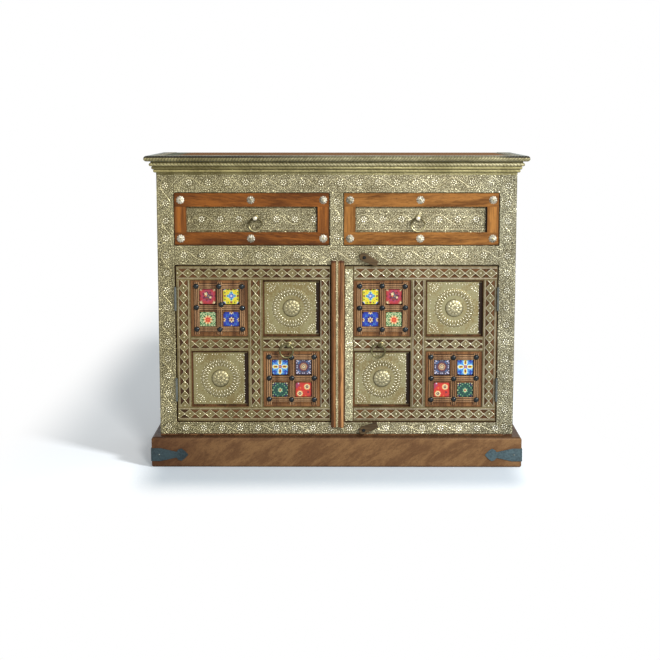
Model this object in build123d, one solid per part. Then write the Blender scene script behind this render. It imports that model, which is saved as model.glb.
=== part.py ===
from build123d import *
from math import cos, hypot, pi, sin
import os

# Brass-clad sideboard: two drawers over two doors, on a plinth, under a moulded cornice.
# Millimetres. X runs to the right, Y from front to back and Z up.
# The origin is on the floor, under the middle of the whole piece.

os.makedirs("parts", exist_ok=True)

# ---- Driving dimensions -------------------------------------------------------------

# Overall
overall_width = 1100.0
overall_depth = 400.0
overall_height = 910.0

# Plinth
plinth_height = 90.0
plinth_thickness = 45.0
plinth_proud = 25.0
plinth_rounding = 7.0
plinth_back_thickness = 22.0

# Iron corner straps on the plinth
strap_height = 38.0
strap_thickness = 2.0
strap_neck = 17.0
strap_barb_back = 31.0
strap_barb = 37.0
strap_body_length = 27.0
strap_neck_from_corner = 73.0
strap_barb_from_corner = 78.5
strap_shoulder_from_corner = 87.0
strap_length = 107.0
strap_centre_height = 38.0
strap_tip_bulge = 1.4

# Case
top_thickness = 16.0
nosing_overhang = 33.0
nosing_width = 23.0
stile_width = 47.5
post_depth = 40.0
top_rail_height = 89.5
middle_rail_height = 56.5
bottom_rail_height = 40.0
drawer_opening_height = 153.0
divider_width = 39.0
divider_depth = 28.0
side_rail_height = 60.0
back_rail_height = 40.0
side_panel_thickness = 10.0
side_panel_setback = 8.0
back_panel_thickness = 8.0
back_panel_lap = 34.0
groove_depth = 8.0
floor_thickness = 18.0
floor_rise = 8.0
shelf_thickness = 16.0
shelf_height = 355.0
shelf_front_setback = 6.0
door_stop_gap = 1.0
cleat_width = 18.0
cleat_height = 20.0

# Cornice mouldings, each from the case outwards and from the top board downwards
cornice_fillet_out = 13.0
cornice_fillet_height = 4.5
bead_out = 19.0
bead_height = 8.5
cove_height = 9.0
cove_lip_out = 16.0
cove_depth = 2.5
torus_out = 9.0
torus_neck_out = 5.0
torus_height = 10.0

# Sheet brass
sheet = 1.0
side_wrap = 30.0
cladding_foot_gap = 5.0
edging_sheet = 0.8
edging_side_width = 24.0
edging_front_width = 40.0

# Doors
door_thickness = 22.0
door_setback = 2.0
door_hinge_gap = 3.0
door_gap = 3.0
door_foot_gap = 2.5
meeting_gap = 2.0
meeting_line = -17.0
door_top_band = 42.0
door_mid_band = 44.0
door_bottom_band = 43.5
hinge_band_left = 42.5
hinge_band_right = 40.5
mid_stile_width = 44.0
meeting_band_left = 30.0
meeting_band_right = 66.0
door_panel_thickness = 8.0
door_panel_setback = 10.0
door_groove = 6.0

# Openwork brass on the doors
fret_margin = 1.0
fret_field = 25.0
fret_bar = 2.4
fret_pitch_across = 30.35
fret_pitch_up = 29.0
fret_end_margin = 1.5
fret_first_top = 3.5
fret_first_up = 24.0
fret_first_mid = 26.5
fret_smallest_hole = 3.2

# Boss sheets and tile frames in the door panels
panel_fit = 0.5
boss_side_reveal = 4.0
boss_end_reveal = 5.5
boss_sides = 16
# The boss, as radius and height above its sheet
boss_profile = ((26.0, 0.0), (23.0, 2.4), (17.0, 5.0), (8.0, 7.0))
tile_frame_thickness = 8.0
tile_frame_bar = 24.0
tile_cross_bar = 21.0
tile_thickness = 5.0
tile_lap = 1.0
reed_groove_width = 1.6
reed_groove_depth = 1.4
reed_lines = (8.0, 17.0)

# Astragal on the right door's meeting stile
astragal_width = 38.4
astragal_thickness = 14.0
astragal_lap = 13.0
astragal_clearance = 0.5
astragal_channel = 9.4
astragal_channel_depth = 7.0
astragal_strip_thickness = 3.0
meeting_strip_gap = 3.2
meeting_strip_margin = 1.9

# Butt hinges
hinge_length = 69.0
hinge_inset = 61.0
hinge_leaf = 1.2
hinge_leaf_depth = 24.0
knuckle_radius = 3.5
knuckle_sides = 10
knuckle_count = 3
knuckle_gap = 0.3
knuckle_stand_off = 0.8
hinge_pin_radius = 1.5
hinge_pin_clearance = 0.07
leaf_notch_clearance = 0.5

# Drawers
drawer_gap = 2.0
drawer_top_bar = 39.0
drawer_bottom_bar = 36.0
drawer_side_bar = 33.0
drawer_bar_thickness = 10.0
drawer_front_thickness = 14.0
drawer_side_thickness = 12.0
drawer_side_drop = 30.5
drawer_back_gap = 42.0
drawer_bottom_thickness = 5.0
drawer_bottom_rise = 8.0
drawer_groove = 6.0
runner_guide = 15.0
runner_ledge = 16.0
runner_height = 52.0
runner_clearance = 1.0
runner_front_clearance = 1.0
glide = 0.3

# Ring pulls
ring_outer_radius = 21.5
ring_wire_radius = 2.2
ring_eye_clearance = 0.35
ring_lengths = 20
ring_sides = 6
eye_radius = 5.5
eye_thickness = 6.0
eye_half_depth = 3.5
post_base_radius = 8.0
post_base_thickness = 1.5
post_tail_width = 3.6
post_tail_length = 10.0
post_sides = 10
# The head, as radius and distance past the eye
post_head = ((3.5, 0.7), (5.6, 3.0), (6.0, 5.5), (5.1, 8.5), (2.9, 10.8), (0.8, 11.5))
door_pull_reach = 7.5
drawer_pull_reach = 12.5
drawer_pull_offset = 10.0
drawer_pull_drop = 32.5
door_pull_below_mid = 2.0
left_pull_from_meeting = 121.5
right_pull_from_meeting = 146.0
left_ring_lean = 20.0
right_ring_lean = 25.0

# Turn buttons
button_length = 60.0
button_width = 24.0
button_tip_width = 19.0
button_thickness = 10.0
button_chamfer = 6.0
button_pivot_from_end = 17.0
button_pivot_x = 80.0
upper_button_rise = 23.0
lower_button_drop = 21.5
upper_button_angle = -27.0
lower_button_angle = 22.0
button_screw_radius = 2.4
button_screw_clearance = 0.07
button_screw_length = 15.0
button_head_radius = 5.0
button_head_crown = 3.0
button_head_height = 3.0
button_head_sides = 12
button_head_gap = 0.3
washer_radius = 7.0
washer_thickness = 3.0

# How far a cutting tool runs past the face that it cuts
cut_margin = 1.0

# ---- Planes and places worked out from them ------------------------------------------

case_half = overall_width / 2 - nosing_overhang
case_front = -overall_depth / 2 + nosing_overhang
case_back = overall_depth / 2
case_top = overall_height - top_thickness
opening_half = case_half - stile_width
clad_face = case_front - sheet
rail_thickness = door_setback + door_thickness + door_stop_gap
rail_back = case_front + rail_thickness
divider_back = case_front + divider_depth
front_post_back = case_front + post_depth
back_post_front = case_back - post_depth
back_panel_front = case_back - back_panel_thickness

drawer_sill = case_top - top_rail_height - drawer_opening_height
drawer_head = case_top - top_rail_height
door_head = drawer_sill - middle_rail_height
door_sill = plinth_height + bottom_rail_height

door_face = case_front + door_setback
door_back = door_face + door_thickness
fret_face = door_face - sheet
door_bottom = door_sill + door_foot_gap
door_top = door_head - door_gap
door_hinge_edge = opening_half - door_hinge_gap
left_meeting_edge = meeting_line - meeting_gap / 2
right_meeting_edge = meeting_line + meeting_gap / 2
door_mid_low = (door_bottom + door_bottom_band + door_top - door_top_band - door_mid_band) / 2
door_mid_high = door_mid_low + door_mid_band
door_rail_low = door_bottom + door_bottom_band
door_rail_high = door_top - door_top_band
door_rows = ((door_rail_low, door_mid_low), (door_mid_high, door_rail_high))
panel_face = door_face + door_panel_setback
sheet_face = panel_face - sheet

hinge_axis_x = opening_half - door_hinge_gap / 2
hinge_axis_y = clad_face - knuckle_stand_off - knuckle_radius
hinge_centres = (door_bottom + hinge_inset + hinge_length / 2, door_top - hinge_inset - hinge_length / 2)

drawer_face = case_front + door_setback
plate_face = drawer_face + drawer_bar_thickness
drawer_board_face = plate_face + sheet
drawer_board_back = drawer_board_face + drawer_front_thickness
drawer_inner_edge = divider_width / 2 + drawer_gap
drawer_outer_edge = opening_half - drawer_gap
drawer_bottom_edge = drawer_sill + drawer_gap
drawer_top_edge = drawer_head - drawer_gap
runner_front = drawer_board_back + runner_front_clearance
runner_top = drawer_bottom_edge
runner_bottom = runner_top - runner_ledge
box_outer = opening_half - runner_guide - runner_clearance
box_inner = drawer_inner_edge
box_bottom = runner_top + glide
box_top = drawer_top_edge - drawer_side_drop
box_back = back_panel_front - drawer_back_gap

ring_radius = ring_outer_radius - ring_wire_radius
drawer_pull_x = (drawer_inner_edge + drawer_outer_edge) / 2 - drawer_pull_offset
drawer_pull_z = drawer_top_edge - drawer_top_bar - drawer_pull_drop
door_pull_z = (door_mid_low + door_mid_high) / 2 - door_pull_below_mid
left_pull_x = left_meeting_edge - left_pull_from_meeting
right_pull_x = right_meeting_edge + right_pull_from_meeting
door_eye_y = fret_face - door_pull_reach
drawer_eye_y = plate_face - drawer_pull_reach

button_back = clad_face - washer_thickness
upper_button_z = door_head + upper_button_rise
lower_button_z = door_sill - lower_button_drop


# ---- Helpers -------------------------------------------------------------------------

def block(x0, x1, y0, y1, z0, z1):
    """A box between two corners, given in any order."""
    place = Pos((x0 + x1) / 2, (y0 + y1) / 2, (z0 + z1) / 2)
    return place * Box(abs(x1 - x0), abs(y1 - y0), abs(z1 - z0))


def save(name, *solids):
    """Write one node, which may hold several separate solids."""
    shape = solids[0] if len(solids) == 1 else Compound(children=list(solids))
    shape.label = name
    export_step(shape, f"parts/{name}.step")


def both_sides(solid):
    """The solid and its mirror image across the middle of the piece."""
    return solid, mirror(solid, Plane.YZ)


def along_y(radius, x, z, y0, y1):
    """A round bar that runs front to back."""
    return Pos(x, (y0 + y1) / 2, z) * Rot(90, 0, 0) * Cylinder(radius, abs(y1 - y0))


def front_plate(sketch, y, thickness):
    """Extrude a drawing made in X and Z forwards from the plane at y."""
    return extrude(Plane.XZ.offset(-y) * sketch, thickness)


def facets_between(lower, upper):
    """Flat four-sided faces from one closed ring of points to the next."""
    count = len(lower)
    corners = [(lower[k], lower[(k + 1) % count], upper[(k + 1) % count], upper[k]) for k in range(count)]
    return [Face(Wire.make_polygon(points)) for points in corners]


def turned(sections, sides):
    """A bar along Y with flats round it, given as the radius at its corners and its Y."""
    angles = [2 * pi * (k + 0.5) / sides for k in range(sides)]
    rings = []
    for radius, y in sections:
        rings.append([Vector(radius * cos(angle), y, radius * sin(angle)) for angle in angles])
    facets = [Face(Wire.make_polygon(rings[0])), Face(Wire.make_polygon(rings[-1]))]
    for lower, upper in zip(rings, rings[1:]):
        facets += facets_between(lower, upper)
    return Solid(Shell(facets))


# ---- Plinth and its straps -----------------------------------------------------------

def level_edges(face):
    """The two edges of an upright face that don't run upwards."""
    return face.edges().sort_by(lambda edge: abs(edge.tangent_at(0.5).Z))[:2]


def build_plinth():
    """Four boards from one rounded frame: front and ends mitred, back between the ends."""
    half = case_half + plinth_proud
    front = case_front - plinth_proud
    inner_half = half - plinth_thickness
    inner_front = front + plinth_thickness
    ring = block(-half, half, front, case_back, 0, plinth_height)
    across = ring.faces().sort_by(Axis.X)
    outer_faces = [across[0], across[-1], ring.faces().sort_by(Axis.Y)[0]]
    ring = fillet([edge for face in outer_faces for edge in level_edges(face)], plinth_rounding)
    front_plan = Polygon((-half, front), (half, front), (inner_half, inner_front),
                         (-inner_half, inner_front), align=None)
    end_plan = Polygon((half, front), (half, case_back), (inner_half, case_back),
                       (inner_half, inner_front), align=None)
    save("plinth_front", ring & extrude(front_plan, plinth_height))
    save("plinth_ends", *both_sides(ring & extrude(end_plan, plinth_height)))
    back_front = case_back - plinth_back_thickness
    save("plinth_back", block(-inner_half, inner_half, back_front, case_back, 0, plinth_height))


def strap_leg(thickness):
    """One leg of a strap, lying along +X from the corner, with a waisted spearhead end."""
    high = strap_height / 2
    neck = (strap_neck_from_corner, strap_neck / 2)
    barb_back = (strap_barb_from_corner, strap_barb_back / 2)
    barb = (strap_shoulder_from_corner, strap_barb / 2)
    upper = [
        Line((0, high), (strap_body_length, high)),
        Line((strap_body_length, high), neck),
        Line(neck, barb_back),
        Line(barb_back, barb),
        SagittaArc(barb, (strap_length, 0), strap_tip_bulge),
    ]
    lower = [mirror(edge, Plane.XZ) for edge in upper]
    closing = Line((0, -high), (0, high))
    outline = make_face([*upper, *lower, closing])
    return extrude(outline, thickness)


def build_straps():
    """Sheet-iron straps round both front corners of the plinth."""
    half = case_half + plinth_proud
    front = case_front - plinth_proud
    leg = strap_leg(strap_thickness)
    on_front = Pos(-half, front, strap_centre_height) * Rot(90, 0, 0) * leg
    on_side = Pos(-half, front, strap_centre_height) * Rot(0, 0, 90) * Rot(90, 0, 0) * leg
    on_side = Pos(-strap_thickness, 0, 0) * on_side
    corner = block(-half - strap_thickness, -half, front - strap_thickness, front,
                   strap_centre_height - strap_height / 2, strap_centre_height + strap_height / 2)
    strap = on_front + on_side + corner
    save("corner_straps", *both_sides(strap))


# ---- Case ----------------------------------------------------------------------------

def side_panel():
    """The left side panel, with its edges in the grooves of rails and posts."""
    outer = case_half - side_panel_setback
    return block(-outer, -outer + side_panel_thickness, front_post_back - groove_depth,
                 back_post_front + groove_depth, plinth_height + side_rail_height - groove_depth,
                 case_top - side_rail_height + groove_depth)


def back_panel():
    half = opening_half + back_panel_lap
    return block(-half, half, back_panel_front, case_back, plinth_height, case_top)


def button_holes(radius):
    """Bores for the screws of both turn buttons."""
    deep = clad_face + button_screw_length
    start = clad_face - cut_margin
    upper = along_y(radius, button_pivot_x, upper_button_z, start, deep)
    lower = along_y(radius, button_pivot_x, lower_button_z, start, deep)
    return upper + lower


def floor_board():
    """The floor, notched round the four posts. Its front edge is the stop for the doors."""
    inner_half = case_half - rail_thickness
    floor_top = door_sill + floor_rise
    floor_low = floor_top - floor_thickness
    floor = block(-inner_half, inner_half, door_back + door_stop_gap, back_panel_front, floor_low, floor_top)
    for side in (-1, 1):
        floor -= block(side * opening_half, side * case_half, case_front, front_post_back,
                       floor_low, floor_top)
        floor -= block(side * opening_half, side * case_half, back_post_front, case_back,
                       floor_low, floor_top)
    return floor


def build_case():
    panel = side_panel()
    back = back_panel()
    front_stile = block(-case_half, -opening_half, case_front, front_post_back, plinth_height, case_top)
    save("front_stiles", *both_sides(front_stile - panel))
    back_post = block(-case_half, -opening_half, back_post_front, case_back, plinth_height, case_top)
    save("back_posts", *both_sides(back_post - panel - back))
    holes = button_holes(button_screw_radius)
    save("top_rail", block(-opening_half, opening_half, case_front, rail_back, drawer_head, case_top))
    middle = block(-opening_half, opening_half, case_front, rail_back, door_head, drawer_sill)
    save("middle_rail", middle - holes)
    bottom = block(-opening_half, opening_half, case_front, rail_back, plinth_height, door_sill)
    save("bottom_rail", bottom - holes - floor_board())
    save("drawer_divider", block(-divider_width / 2, divider_width / 2, case_front, divider_back,
                                 drawer_sill, drawer_head))
    low = block(-case_half, -case_half + rail_thickness, front_post_back, back_post_front,
                plinth_height, plinth_height + side_rail_height)
    high = block(-case_half, -case_half + rail_thickness, front_post_back, back_post_front,
                 case_top - side_rail_height, case_top)
    save("side_panels", *both_sides(panel))
    save("back_panel", back)
    back_rail = block(-opening_half, opening_half, back_panel_front - rail_thickness, back_panel_front,
                      runner_bottom - back_rail_height, runner_bottom)
    top_back = block(-opening_half, opening_half, back_panel_front - rail_thickness, back_panel_front,
                     case_top - back_rail_height, case_top)
    save("case_rails", *both_sides(low - panel), *both_sides(high - panel), back_rail, top_back)


def build_inside():
    """Floor, shelf and the cleats that carry them."""
    save("floor_board", floor_board())
    inner_half = case_half - rail_thickness
    floor_low = door_sill + floor_rise - floor_thickness
    shelf_front = door_back + shelf_front_setback
    save("shelf", block(-opening_half + panel_fit, opening_half - panel_fit, shelf_front,
                        back_panel_front, shelf_height, shelf_height + shelf_thickness))
    shelf_cleat = block(-opening_half, -opening_half + cleat_width, shelf_front, back_panel_front,
                        shelf_height - cleat_height, shelf_height)
    floor_cleat = block(-inner_half, -inner_half + cleat_width, front_post_back, back_post_front,
                        floor_low - cleat_height, floor_low)
    save("cleats", *both_sides(shelf_cleat), *both_sides(floor_cleat))


def build_runners():
    """Outer runners are L-shaped and the one in the middle is an inverted T."""
    guide_top = runner_bottom + runner_height
    guide = block(-opening_half, -opening_half + runner_guide, runner_front, back_panel_front,
                  runner_bottom, guide_top)
    ledge = block(-opening_half, -opening_half + runner_guide + runner_ledge, runner_front,
                  back_panel_front, runner_bottom, runner_top)
    web = block(-divider_width / 2, divider_width / 2, divider_back, back_panel_front,
                runner_bottom, guide_top)
    foot = block(-divider_width / 2 - runner_ledge, divider_width / 2 + runner_ledge, runner_front,
                 back_panel_front, runner_bottom, runner_top)
    save("drawer_runners", *both_sides(guide + ledge), web + foot)


# ---- Top and cornice -----------------------------------------------------------------

def mitred_front(profile, out):
    """Run a profile across the front, mitred at both ends. Profile X is outwards, Y is up."""
    reach = case_half + out
    front = case_front - out
    bar = Rot(90, 0, 0) * Rot(0, -90, 0) * extrude(profile, -2 * reach)
    bar = Pos(-reach, case_front, 0) * bar
    plan = Polygon((-reach, front), (reach, front), (case_half, case_front), (-case_half, case_front),
                   align=None)
    return bar & extrude(plan, overall_height)


def mitred_side(profile, out):
    """Run a profile down the left side, mitred at the front and square at the back."""
    reach = case_half + out
    front = case_front - out
    bar = Rot(0, 0, 180) * Rot(90, 0, 0) * extrude(profile, front - case_back)
    bar = Pos(-case_half, case_back, 0) * bar
    plan = Polygon((-reach, front), (-case_half, case_front), (-case_half, case_back),
                   (-reach, case_back), align=None)
    return bar & extrude(plan, overall_height)


def nosing_profile():
    """Half-round edge of the top, as thick as the top board."""
    radius = top_thickness / 2
    inner = nosing_overhang - nosing_width
    outer = nosing_overhang - radius
    lines = [
        Line((inner, case_top), (outer, case_top)),
        ThreePointArc((outer, case_top), (nosing_overhang, case_top + radius), (outer, overall_height)),
        Line((outer, overall_height), (inner, overall_height)),
        Line((inner, overall_height), (inner, case_top)),
    ]
    return make_face(lines)


def cornice_profile():
    """Fillet, bead, cove and torus, from the top board down to the clad face."""
    fillet_low = case_top - cornice_fillet_height
    bead_low = fillet_low - bead_height
    cove_low = bead_low - cove_height
    torus_low = cove_low - torus_height
    bead_root = bead_out - bead_height / 2
    lines = [
        Line((0, case_top), (cornice_fillet_out, case_top)),
        Line((cornice_fillet_out, case_top), (cornice_fillet_out, fillet_low)),
        Line((cornice_fillet_out, fillet_low), (bead_root, fillet_low)),
        ThreePointArc((bead_root, fillet_low), (bead_out, (fillet_low + bead_low) / 2),
                      (bead_root, bead_low)),
        Line((bead_root, bead_low), (cove_lip_out, bead_low)),
        SagittaArc((cove_lip_out, bead_low), (torus_neck_out, cove_low), -cove_depth),
        ThreePointArc((torus_neck_out, cove_low), (torus_out, (cove_low + torus_low) / 2),
                      (torus_neck_out, torus_low)),
        Line((torus_neck_out, torus_low), (0, torus_low)),
        Line((0, torus_low), (0, case_top)),
    ]
    return make_face(lines), torus_low


def build_top():
    board_out = nosing_overhang - nosing_width
    half = case_half + board_out
    front = case_front - board_out
    wood_top = overall_height - edging_sheet
    save("top_board", block(-half, half, front, case_back, case_top, wood_top))
    nosing = nosing_profile()
    save("top_nosing", mitred_front(nosing, nosing_overhang),
         *both_sides(mitred_side(nosing, nosing_overhang)))
    cornice, _ = cornice_profile()
    save("front_cornice", mitred_front(cornice, bead_out))
    save("side_cornices", *both_sides(mitred_side(cornice, bead_out)))


# ---- Sheet brass on the face frame and round the top ---------------------------------

def build_cladding():
    _, clad_top = cornice_profile()
    clad_foot = plinth_height + cladding_foot_gap
    holes = button_holes(button_screw_radius)
    stile = block(-case_half - sheet, -opening_half, clad_face, case_front, clad_foot, clad_top)
    stile += block(-case_half - sheet, -case_half, clad_face, case_front + side_wrap, clad_foot, clad_top)
    top = block(-opening_half, opening_half, clad_face, case_front, drawer_head, clad_top)
    middle = block(-opening_half, opening_half, clad_face, case_front, door_head, drawer_sill)
    bottom = block(-opening_half, opening_half, clad_face, case_front, clad_foot, door_sill)
    divider = block(-divider_width / 2, divider_width / 2, clad_face, case_front, drawer_sill, drawer_head)
    on_frame = (*both_sides(stile), top, middle - holes, bottom - holes, divider)

    half = case_half + nosing_overhang - nosing_width
    front = case_front - nosing_overhang + nosing_width
    edging_back = front + edging_front_width
    edging_low = overall_height - edging_sheet
    edging_front = block(-half, half, front, edging_back, edging_low, overall_height)
    edging_side = block(-half, -half + edging_side_width, edging_back, case_back, edging_low, overall_height)
    save("sheet_cladding", *on_frame, edging_front, *both_sides(edging_side))


# ---- Hinges --------------------------------------------------------------------------

def knuckle_spans(centre, first, step):
    """Low and high ends of every other knuckle of one hinge."""
    pitch = hinge_length / knuckle_count
    low = centre - hinge_length / 2
    return [(low + k * pitch, low + (k + 1) * pitch - knuckle_gap) for k in range(first, knuckle_count, step)]


def hinge_half(centre, first, leaf_x0, leaf_x1):
    """One leaf of the left door's hinge, with its own knuckles rolled on the axis."""
    low = centre - hinge_length / 2
    high = centre + hinge_length / 2 - knuckle_gap
    clear_y = hinge_axis_y + knuckle_radius + leaf_notch_clearance
    leaf = block(leaf_x0, leaf_x1, clear_y, hinge_axis_y + hinge_leaf_depth, low, high)
    for z0, z1 in knuckle_spans(centre, first, 2):
        leaf += block(leaf_x0, leaf_x1, hinge_axis_y, clear_y, z0, z1)
        roll = extrude(RegularPolygon(knuckle_radius, knuckle_sides), z1 - z0)
        leaf += Pos(-hinge_axis_x, hinge_axis_y, z0) * roll
    return leaf


def frame_leaf(centre):
    """The leaf on the stile carries the pin."""
    pin = Pos(-hinge_axis_x, hinge_axis_y, centre - knuckle_gap / 2)
    pin = pin * Cylinder(hinge_pin_radius, hinge_length - knuckle_gap)
    return hinge_half(centre, 0, -opening_half, -opening_half + hinge_leaf) + pin


def door_leaf(centre):
    bore = hinge_pin_radius + hinge_pin_clearance
    leaf = hinge_half(centre, 1, -door_hinge_edge - hinge_leaf, -door_hinge_edge)
    return leaf - Pos(-hinge_axis_x, hinge_axis_y, centre) * Cylinder(bore, hinge_length)


def build_frame_leaves():
    leaves = [frame_leaf(centre) for centre in hinge_centres]
    save("hinge_frame_leaves", *leaves, *[mirror(leaf, Plane.YZ) for leaf in leaves])


# ---- Ring pulls ----------------------------------------------------------------------

def post_tail(reach):
    """The square tail, from the face that the post stands on. It also cuts its own mortise."""
    half = post_tail_width / 2
    return block(-half, half, reach, reach + post_tail_length, -half, half)


def ring_post(reach):
    """A post that points to -Y, with a knob and a flattened eye whose bore lies on X at the origin."""
    base_front = reach - post_base_thickness
    knob = [(radius, -eye_half_depth - past) for radius, past in post_head]
    post = turned([(post_base_radius, reach), (post_base_radius, base_front)], post_sides)
    post += turned([(eye_radius, base_front), (eye_radius, -eye_half_depth), *knob], post_sides)
    flat = block(eye_thickness / 2, post_base_radius, -eye_half_depth, eye_half_depth,
                 -eye_radius, eye_radius)
    post -= flat + mirror(flat, Plane.YZ)
    post -= Rot(0, 90, 0) * Cylinder(ring_wire_radius + ring_eye_clearance, 2 * eye_thickness)
    return post + post_tail(reach)


def wire_section(turn):
    """Corners of the wire's section at the mitre where two straight lengths of a ring meet."""
    around = 2 * pi * (turn + 0.5) / ring_lengths
    corners = []
    for side in range(ring_sides):
        section = 2 * pi * side / ring_sides
        out = (ring_radius + ring_wire_radius * cos(section)) / cos(pi / ring_lengths)
        corners.append(Vector(out * sin(around), ring_wire_radius * sin(section),
                              out * cos(around) - ring_radius))
    return corners


def ring():
    """A hanging ring of short straight lengths, whose wire passes through the origin along X."""
    facets = []
    for turn in range(ring_lengths):
        facets += facets_between(wire_section(turn), wire_section(turn + 1))
    return Solid(Shell(facets))


def pull_place(x, y, z, lean):
    """Where a pull's eye goes. The lean turns it about the post, seen from the front."""
    return Pos(x, y, z) * Rot(0, lean, 0)


def build_pull(name, place, reach):
    save(f"{name}_ring_post", place * ring_post(reach))
    save(f"{name}_ring", place * ring())


# ---- Doors ---------------------------------------------------------------------------

def fret_holes(length, pitch, first):
    """Triangles between the diamonds of a strip that runs along +X from the origin."""
    half_base = pitch / 2
    high = fret_field / 2
    slant = hypot(half_base, high)
    tip = fret_bar / 2 * slant / half_base
    toe = fret_bar / 2 * slant / high
    triangles = []
    for k in range(-2, int(length / pitch) + 2):
        middle = first + (k + 0.5) * pitch
        for way in (-1, 1):
            triangles.append(Polygon((middle, way * tip), (middle - half_base + toe, way * high),
                                     (middle + half_base - toe, way * high), align=None))
    return triangles


def fret_strip(x0, x1, z0, z1, first, across):
    """One strip of pierced sheet. Its diamonds touch point to point, from its left end or its top."""
    centre = Pos((x0 + x1) / 2, (z0 + z1) / 2)
    if across:
        start = Pos(x0, (z0 + z1) / 2)
        holes = fret_holes(x1 - x0, fret_pitch_across, first)
    else:
        start = Pos((x0 + x1) / 2, z1) * Rot(0, 0, -90)
        holes = fret_holes(z1 - z0, fret_pitch_up, first)
    plate = centre * Rectangle(x1 - x0, z1 - z0)
    window = centre * Rectangle(x1 - x0 - 2 * fret_end_margin, z1 - z0 - 2 * fret_end_margin)
    holes = [start * hole & window for hole in holes]
    holes = [hole for hole in holes if hole and hole.area > fret_smallest_hole]
    return front_plate(plate - holes, door_face, sheet)


def tile_frame(x0, x1, z0, z1):
    """Reeded wooden frame with a cross, and the four tiles in its rebates."""
    face = panel_face - tile_frame_thickness
    frame = block(x0, x1, face, panel_face, z0, z1)
    window_w = (x1 - x0 - 2 * tile_frame_bar - tile_cross_bar) / 2
    window_h = (z1 - z0 - 2 * tile_frame_bar - tile_cross_bar) / 2
    tiles = []
    for left in (x0 + tile_frame_bar, x1 - tile_frame_bar - window_w):
        for low in (z0 + tile_frame_bar, z1 - tile_frame_bar - window_h):
            frame -= block(left, left + window_w, face, panel_face, low, low + window_h)
            tiles.append(block(left - tile_lap, left + window_w + tile_lap, panel_face - tile_thickness,
                               panel_face, low - tile_lap, low + window_h + tile_lap))
    for tile in tiles:
        frame -= tile
    groove_floor = face + reed_groove_depth
    for line in reed_lines:
        outer = block(x0 + line, x1 - line, face, groove_floor, z0 + line, z1 - line)
        inner_line = line + reed_groove_width
        inner = block(x0 + inner_line, x1 - inner_line, face, groove_floor, z0 + inner_line, z1 - inner_line)
        frame -= outer - inner
    x_mid = (x0 + x1) / 2
    z_mid = (z0 + z1) / 2
    reed = reed_groove_width / 2
    inset = reed_lines[-1] + reed_groove_width
    frame -= block(x_mid - reed, x_mid + reed, face, groove_floor, z0 + inset, z1 - inset)
    frame -= block(x0 + inset, x1 - inset, face, groove_floor, z_mid - reed, z_mid + reed)
    return frame, tiles


def boss_sheet(x0, x1, z0, z1):
    """A thin sheet with a raised boss in its middle."""
    flat = block(x0, x1, sheet_face, panel_face, z0, z1)
    boss = turned([(radius, sheet_face - height) for radius, height in boss_profile], boss_sides)
    return flat + Pos((x0 + x1) / 2, 0, (z0 + z1) / 2) * boss


def door_edges(side, hinge_band, meeting_band, meeting_edge):
    """X of each upright line of a door, from its hinge edge to its meeting edge."""
    hinge_edge = side * door_hinge_edge
    panels = abs(meeting_edge - hinge_edge) - hinge_band - meeting_band - mid_stile_width
    edges = [hinge_edge]
    for width in (hinge_band, panels / 2, mid_stile_width, panels / 2, meeting_band):
        edges.append(edges[-1] - side * width)
    return edges


def panel_columns(edges):
    """Left and right X of a door's two columns of panels, from left to right."""
    return sorted(tuple(sorted(pair)) for pair in (edges[1:3], edges[3:5]))


def build_door_wood(name, edges, hole):
    """Panels, and the stiles and rails whose grooves hold them on all four sides."""
    hinge_edge, hinge_in, mid_a, mid_b, meet_in, meeting_edge = edges
    panels = []
    for x0, x1 in panel_columns(edges):
        for z0, z1 in door_rows:
            panels.append(block(x0 - door_groove, x1 + door_groove, panel_face,
                                panel_face + door_panel_thickness, z0 - door_groove, z1 + door_groove))
    save(f"{name}_panels", *panels)
    stiles = [
        block(hinge_edge, hinge_in, door_face, door_back, door_bottom, door_top),
        block(mid_a, mid_b, door_face, door_back, door_rail_low, door_rail_high),
        block(meet_in, meeting_edge, door_face, door_back, door_bottom, door_top),
    ]
    save(f"{name}_stiles", *[stile - panels for stile in stiles])
    rails = [
        block(hinge_in, meet_in, door_face, door_back, door_rail_high, door_top),
        block(hinge_in, meet_in, door_face, door_back, door_bottom, door_rail_low),
        block(hinge_in, mid_a, door_face, door_back, door_mid_low, door_mid_high),
        block(mid_b, meet_in, door_face, door_back, door_mid_low, door_mid_high) - hole,
    ]
    save(f"{name}_rails", *[rail - panels for rail in rails])


def build_fretwork(name, side, edges, hole, plain):
    """Pierced brass on every band of a door. A plain door has a plain strip beside its astragal."""
    hinge_edge, hinge_in, mid_a, mid_b, meet_in, meeting_edge = edges
    margin = fret_margin
    inset = side * margin
    start = hinge_edge - inset
    end = meet_in if plain else meeting_edge + inset
    left, right = min(start, end), max(start, end)
    top_low = door_rail_high + margin
    bottom_high = door_rail_low - margin
    strips = [
        fret_strip(left, right, top_low, door_top - margin, fret_first_top, True),
        fret_strip(left, right, door_bottom + margin, bottom_high, fret_first_top, True),
    ]
    uprights = [(start, hinge_in + inset), (mid_a - inset, mid_b + inset)]
    if not plain:
        uprights.append((meet_in - inset, end))
    for a, b in uprights:
        strips.append(fret_strip(min(a, b), max(a, b), bottom_high, top_low, fret_first_up, False))
    for x0, x1 in panel_columns(edges):
        x0 = x0 if plain and x0 == meet_in else x0 - margin
        strip = fret_strip(x0, x1 + margin, door_mid_low + margin, door_mid_high - margin,
                           fret_first_mid, True)
        strips.append(strip - hole)
    if plain:
        strips.append(block(meeting_edge + side * (astragal_width + meeting_strip_gap),
                            meet_in - side * meeting_strip_margin, fret_face, door_face,
                            door_bottom + margin, door_top - margin))
    save(f"{name}_fretwork", *strips)


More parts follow.
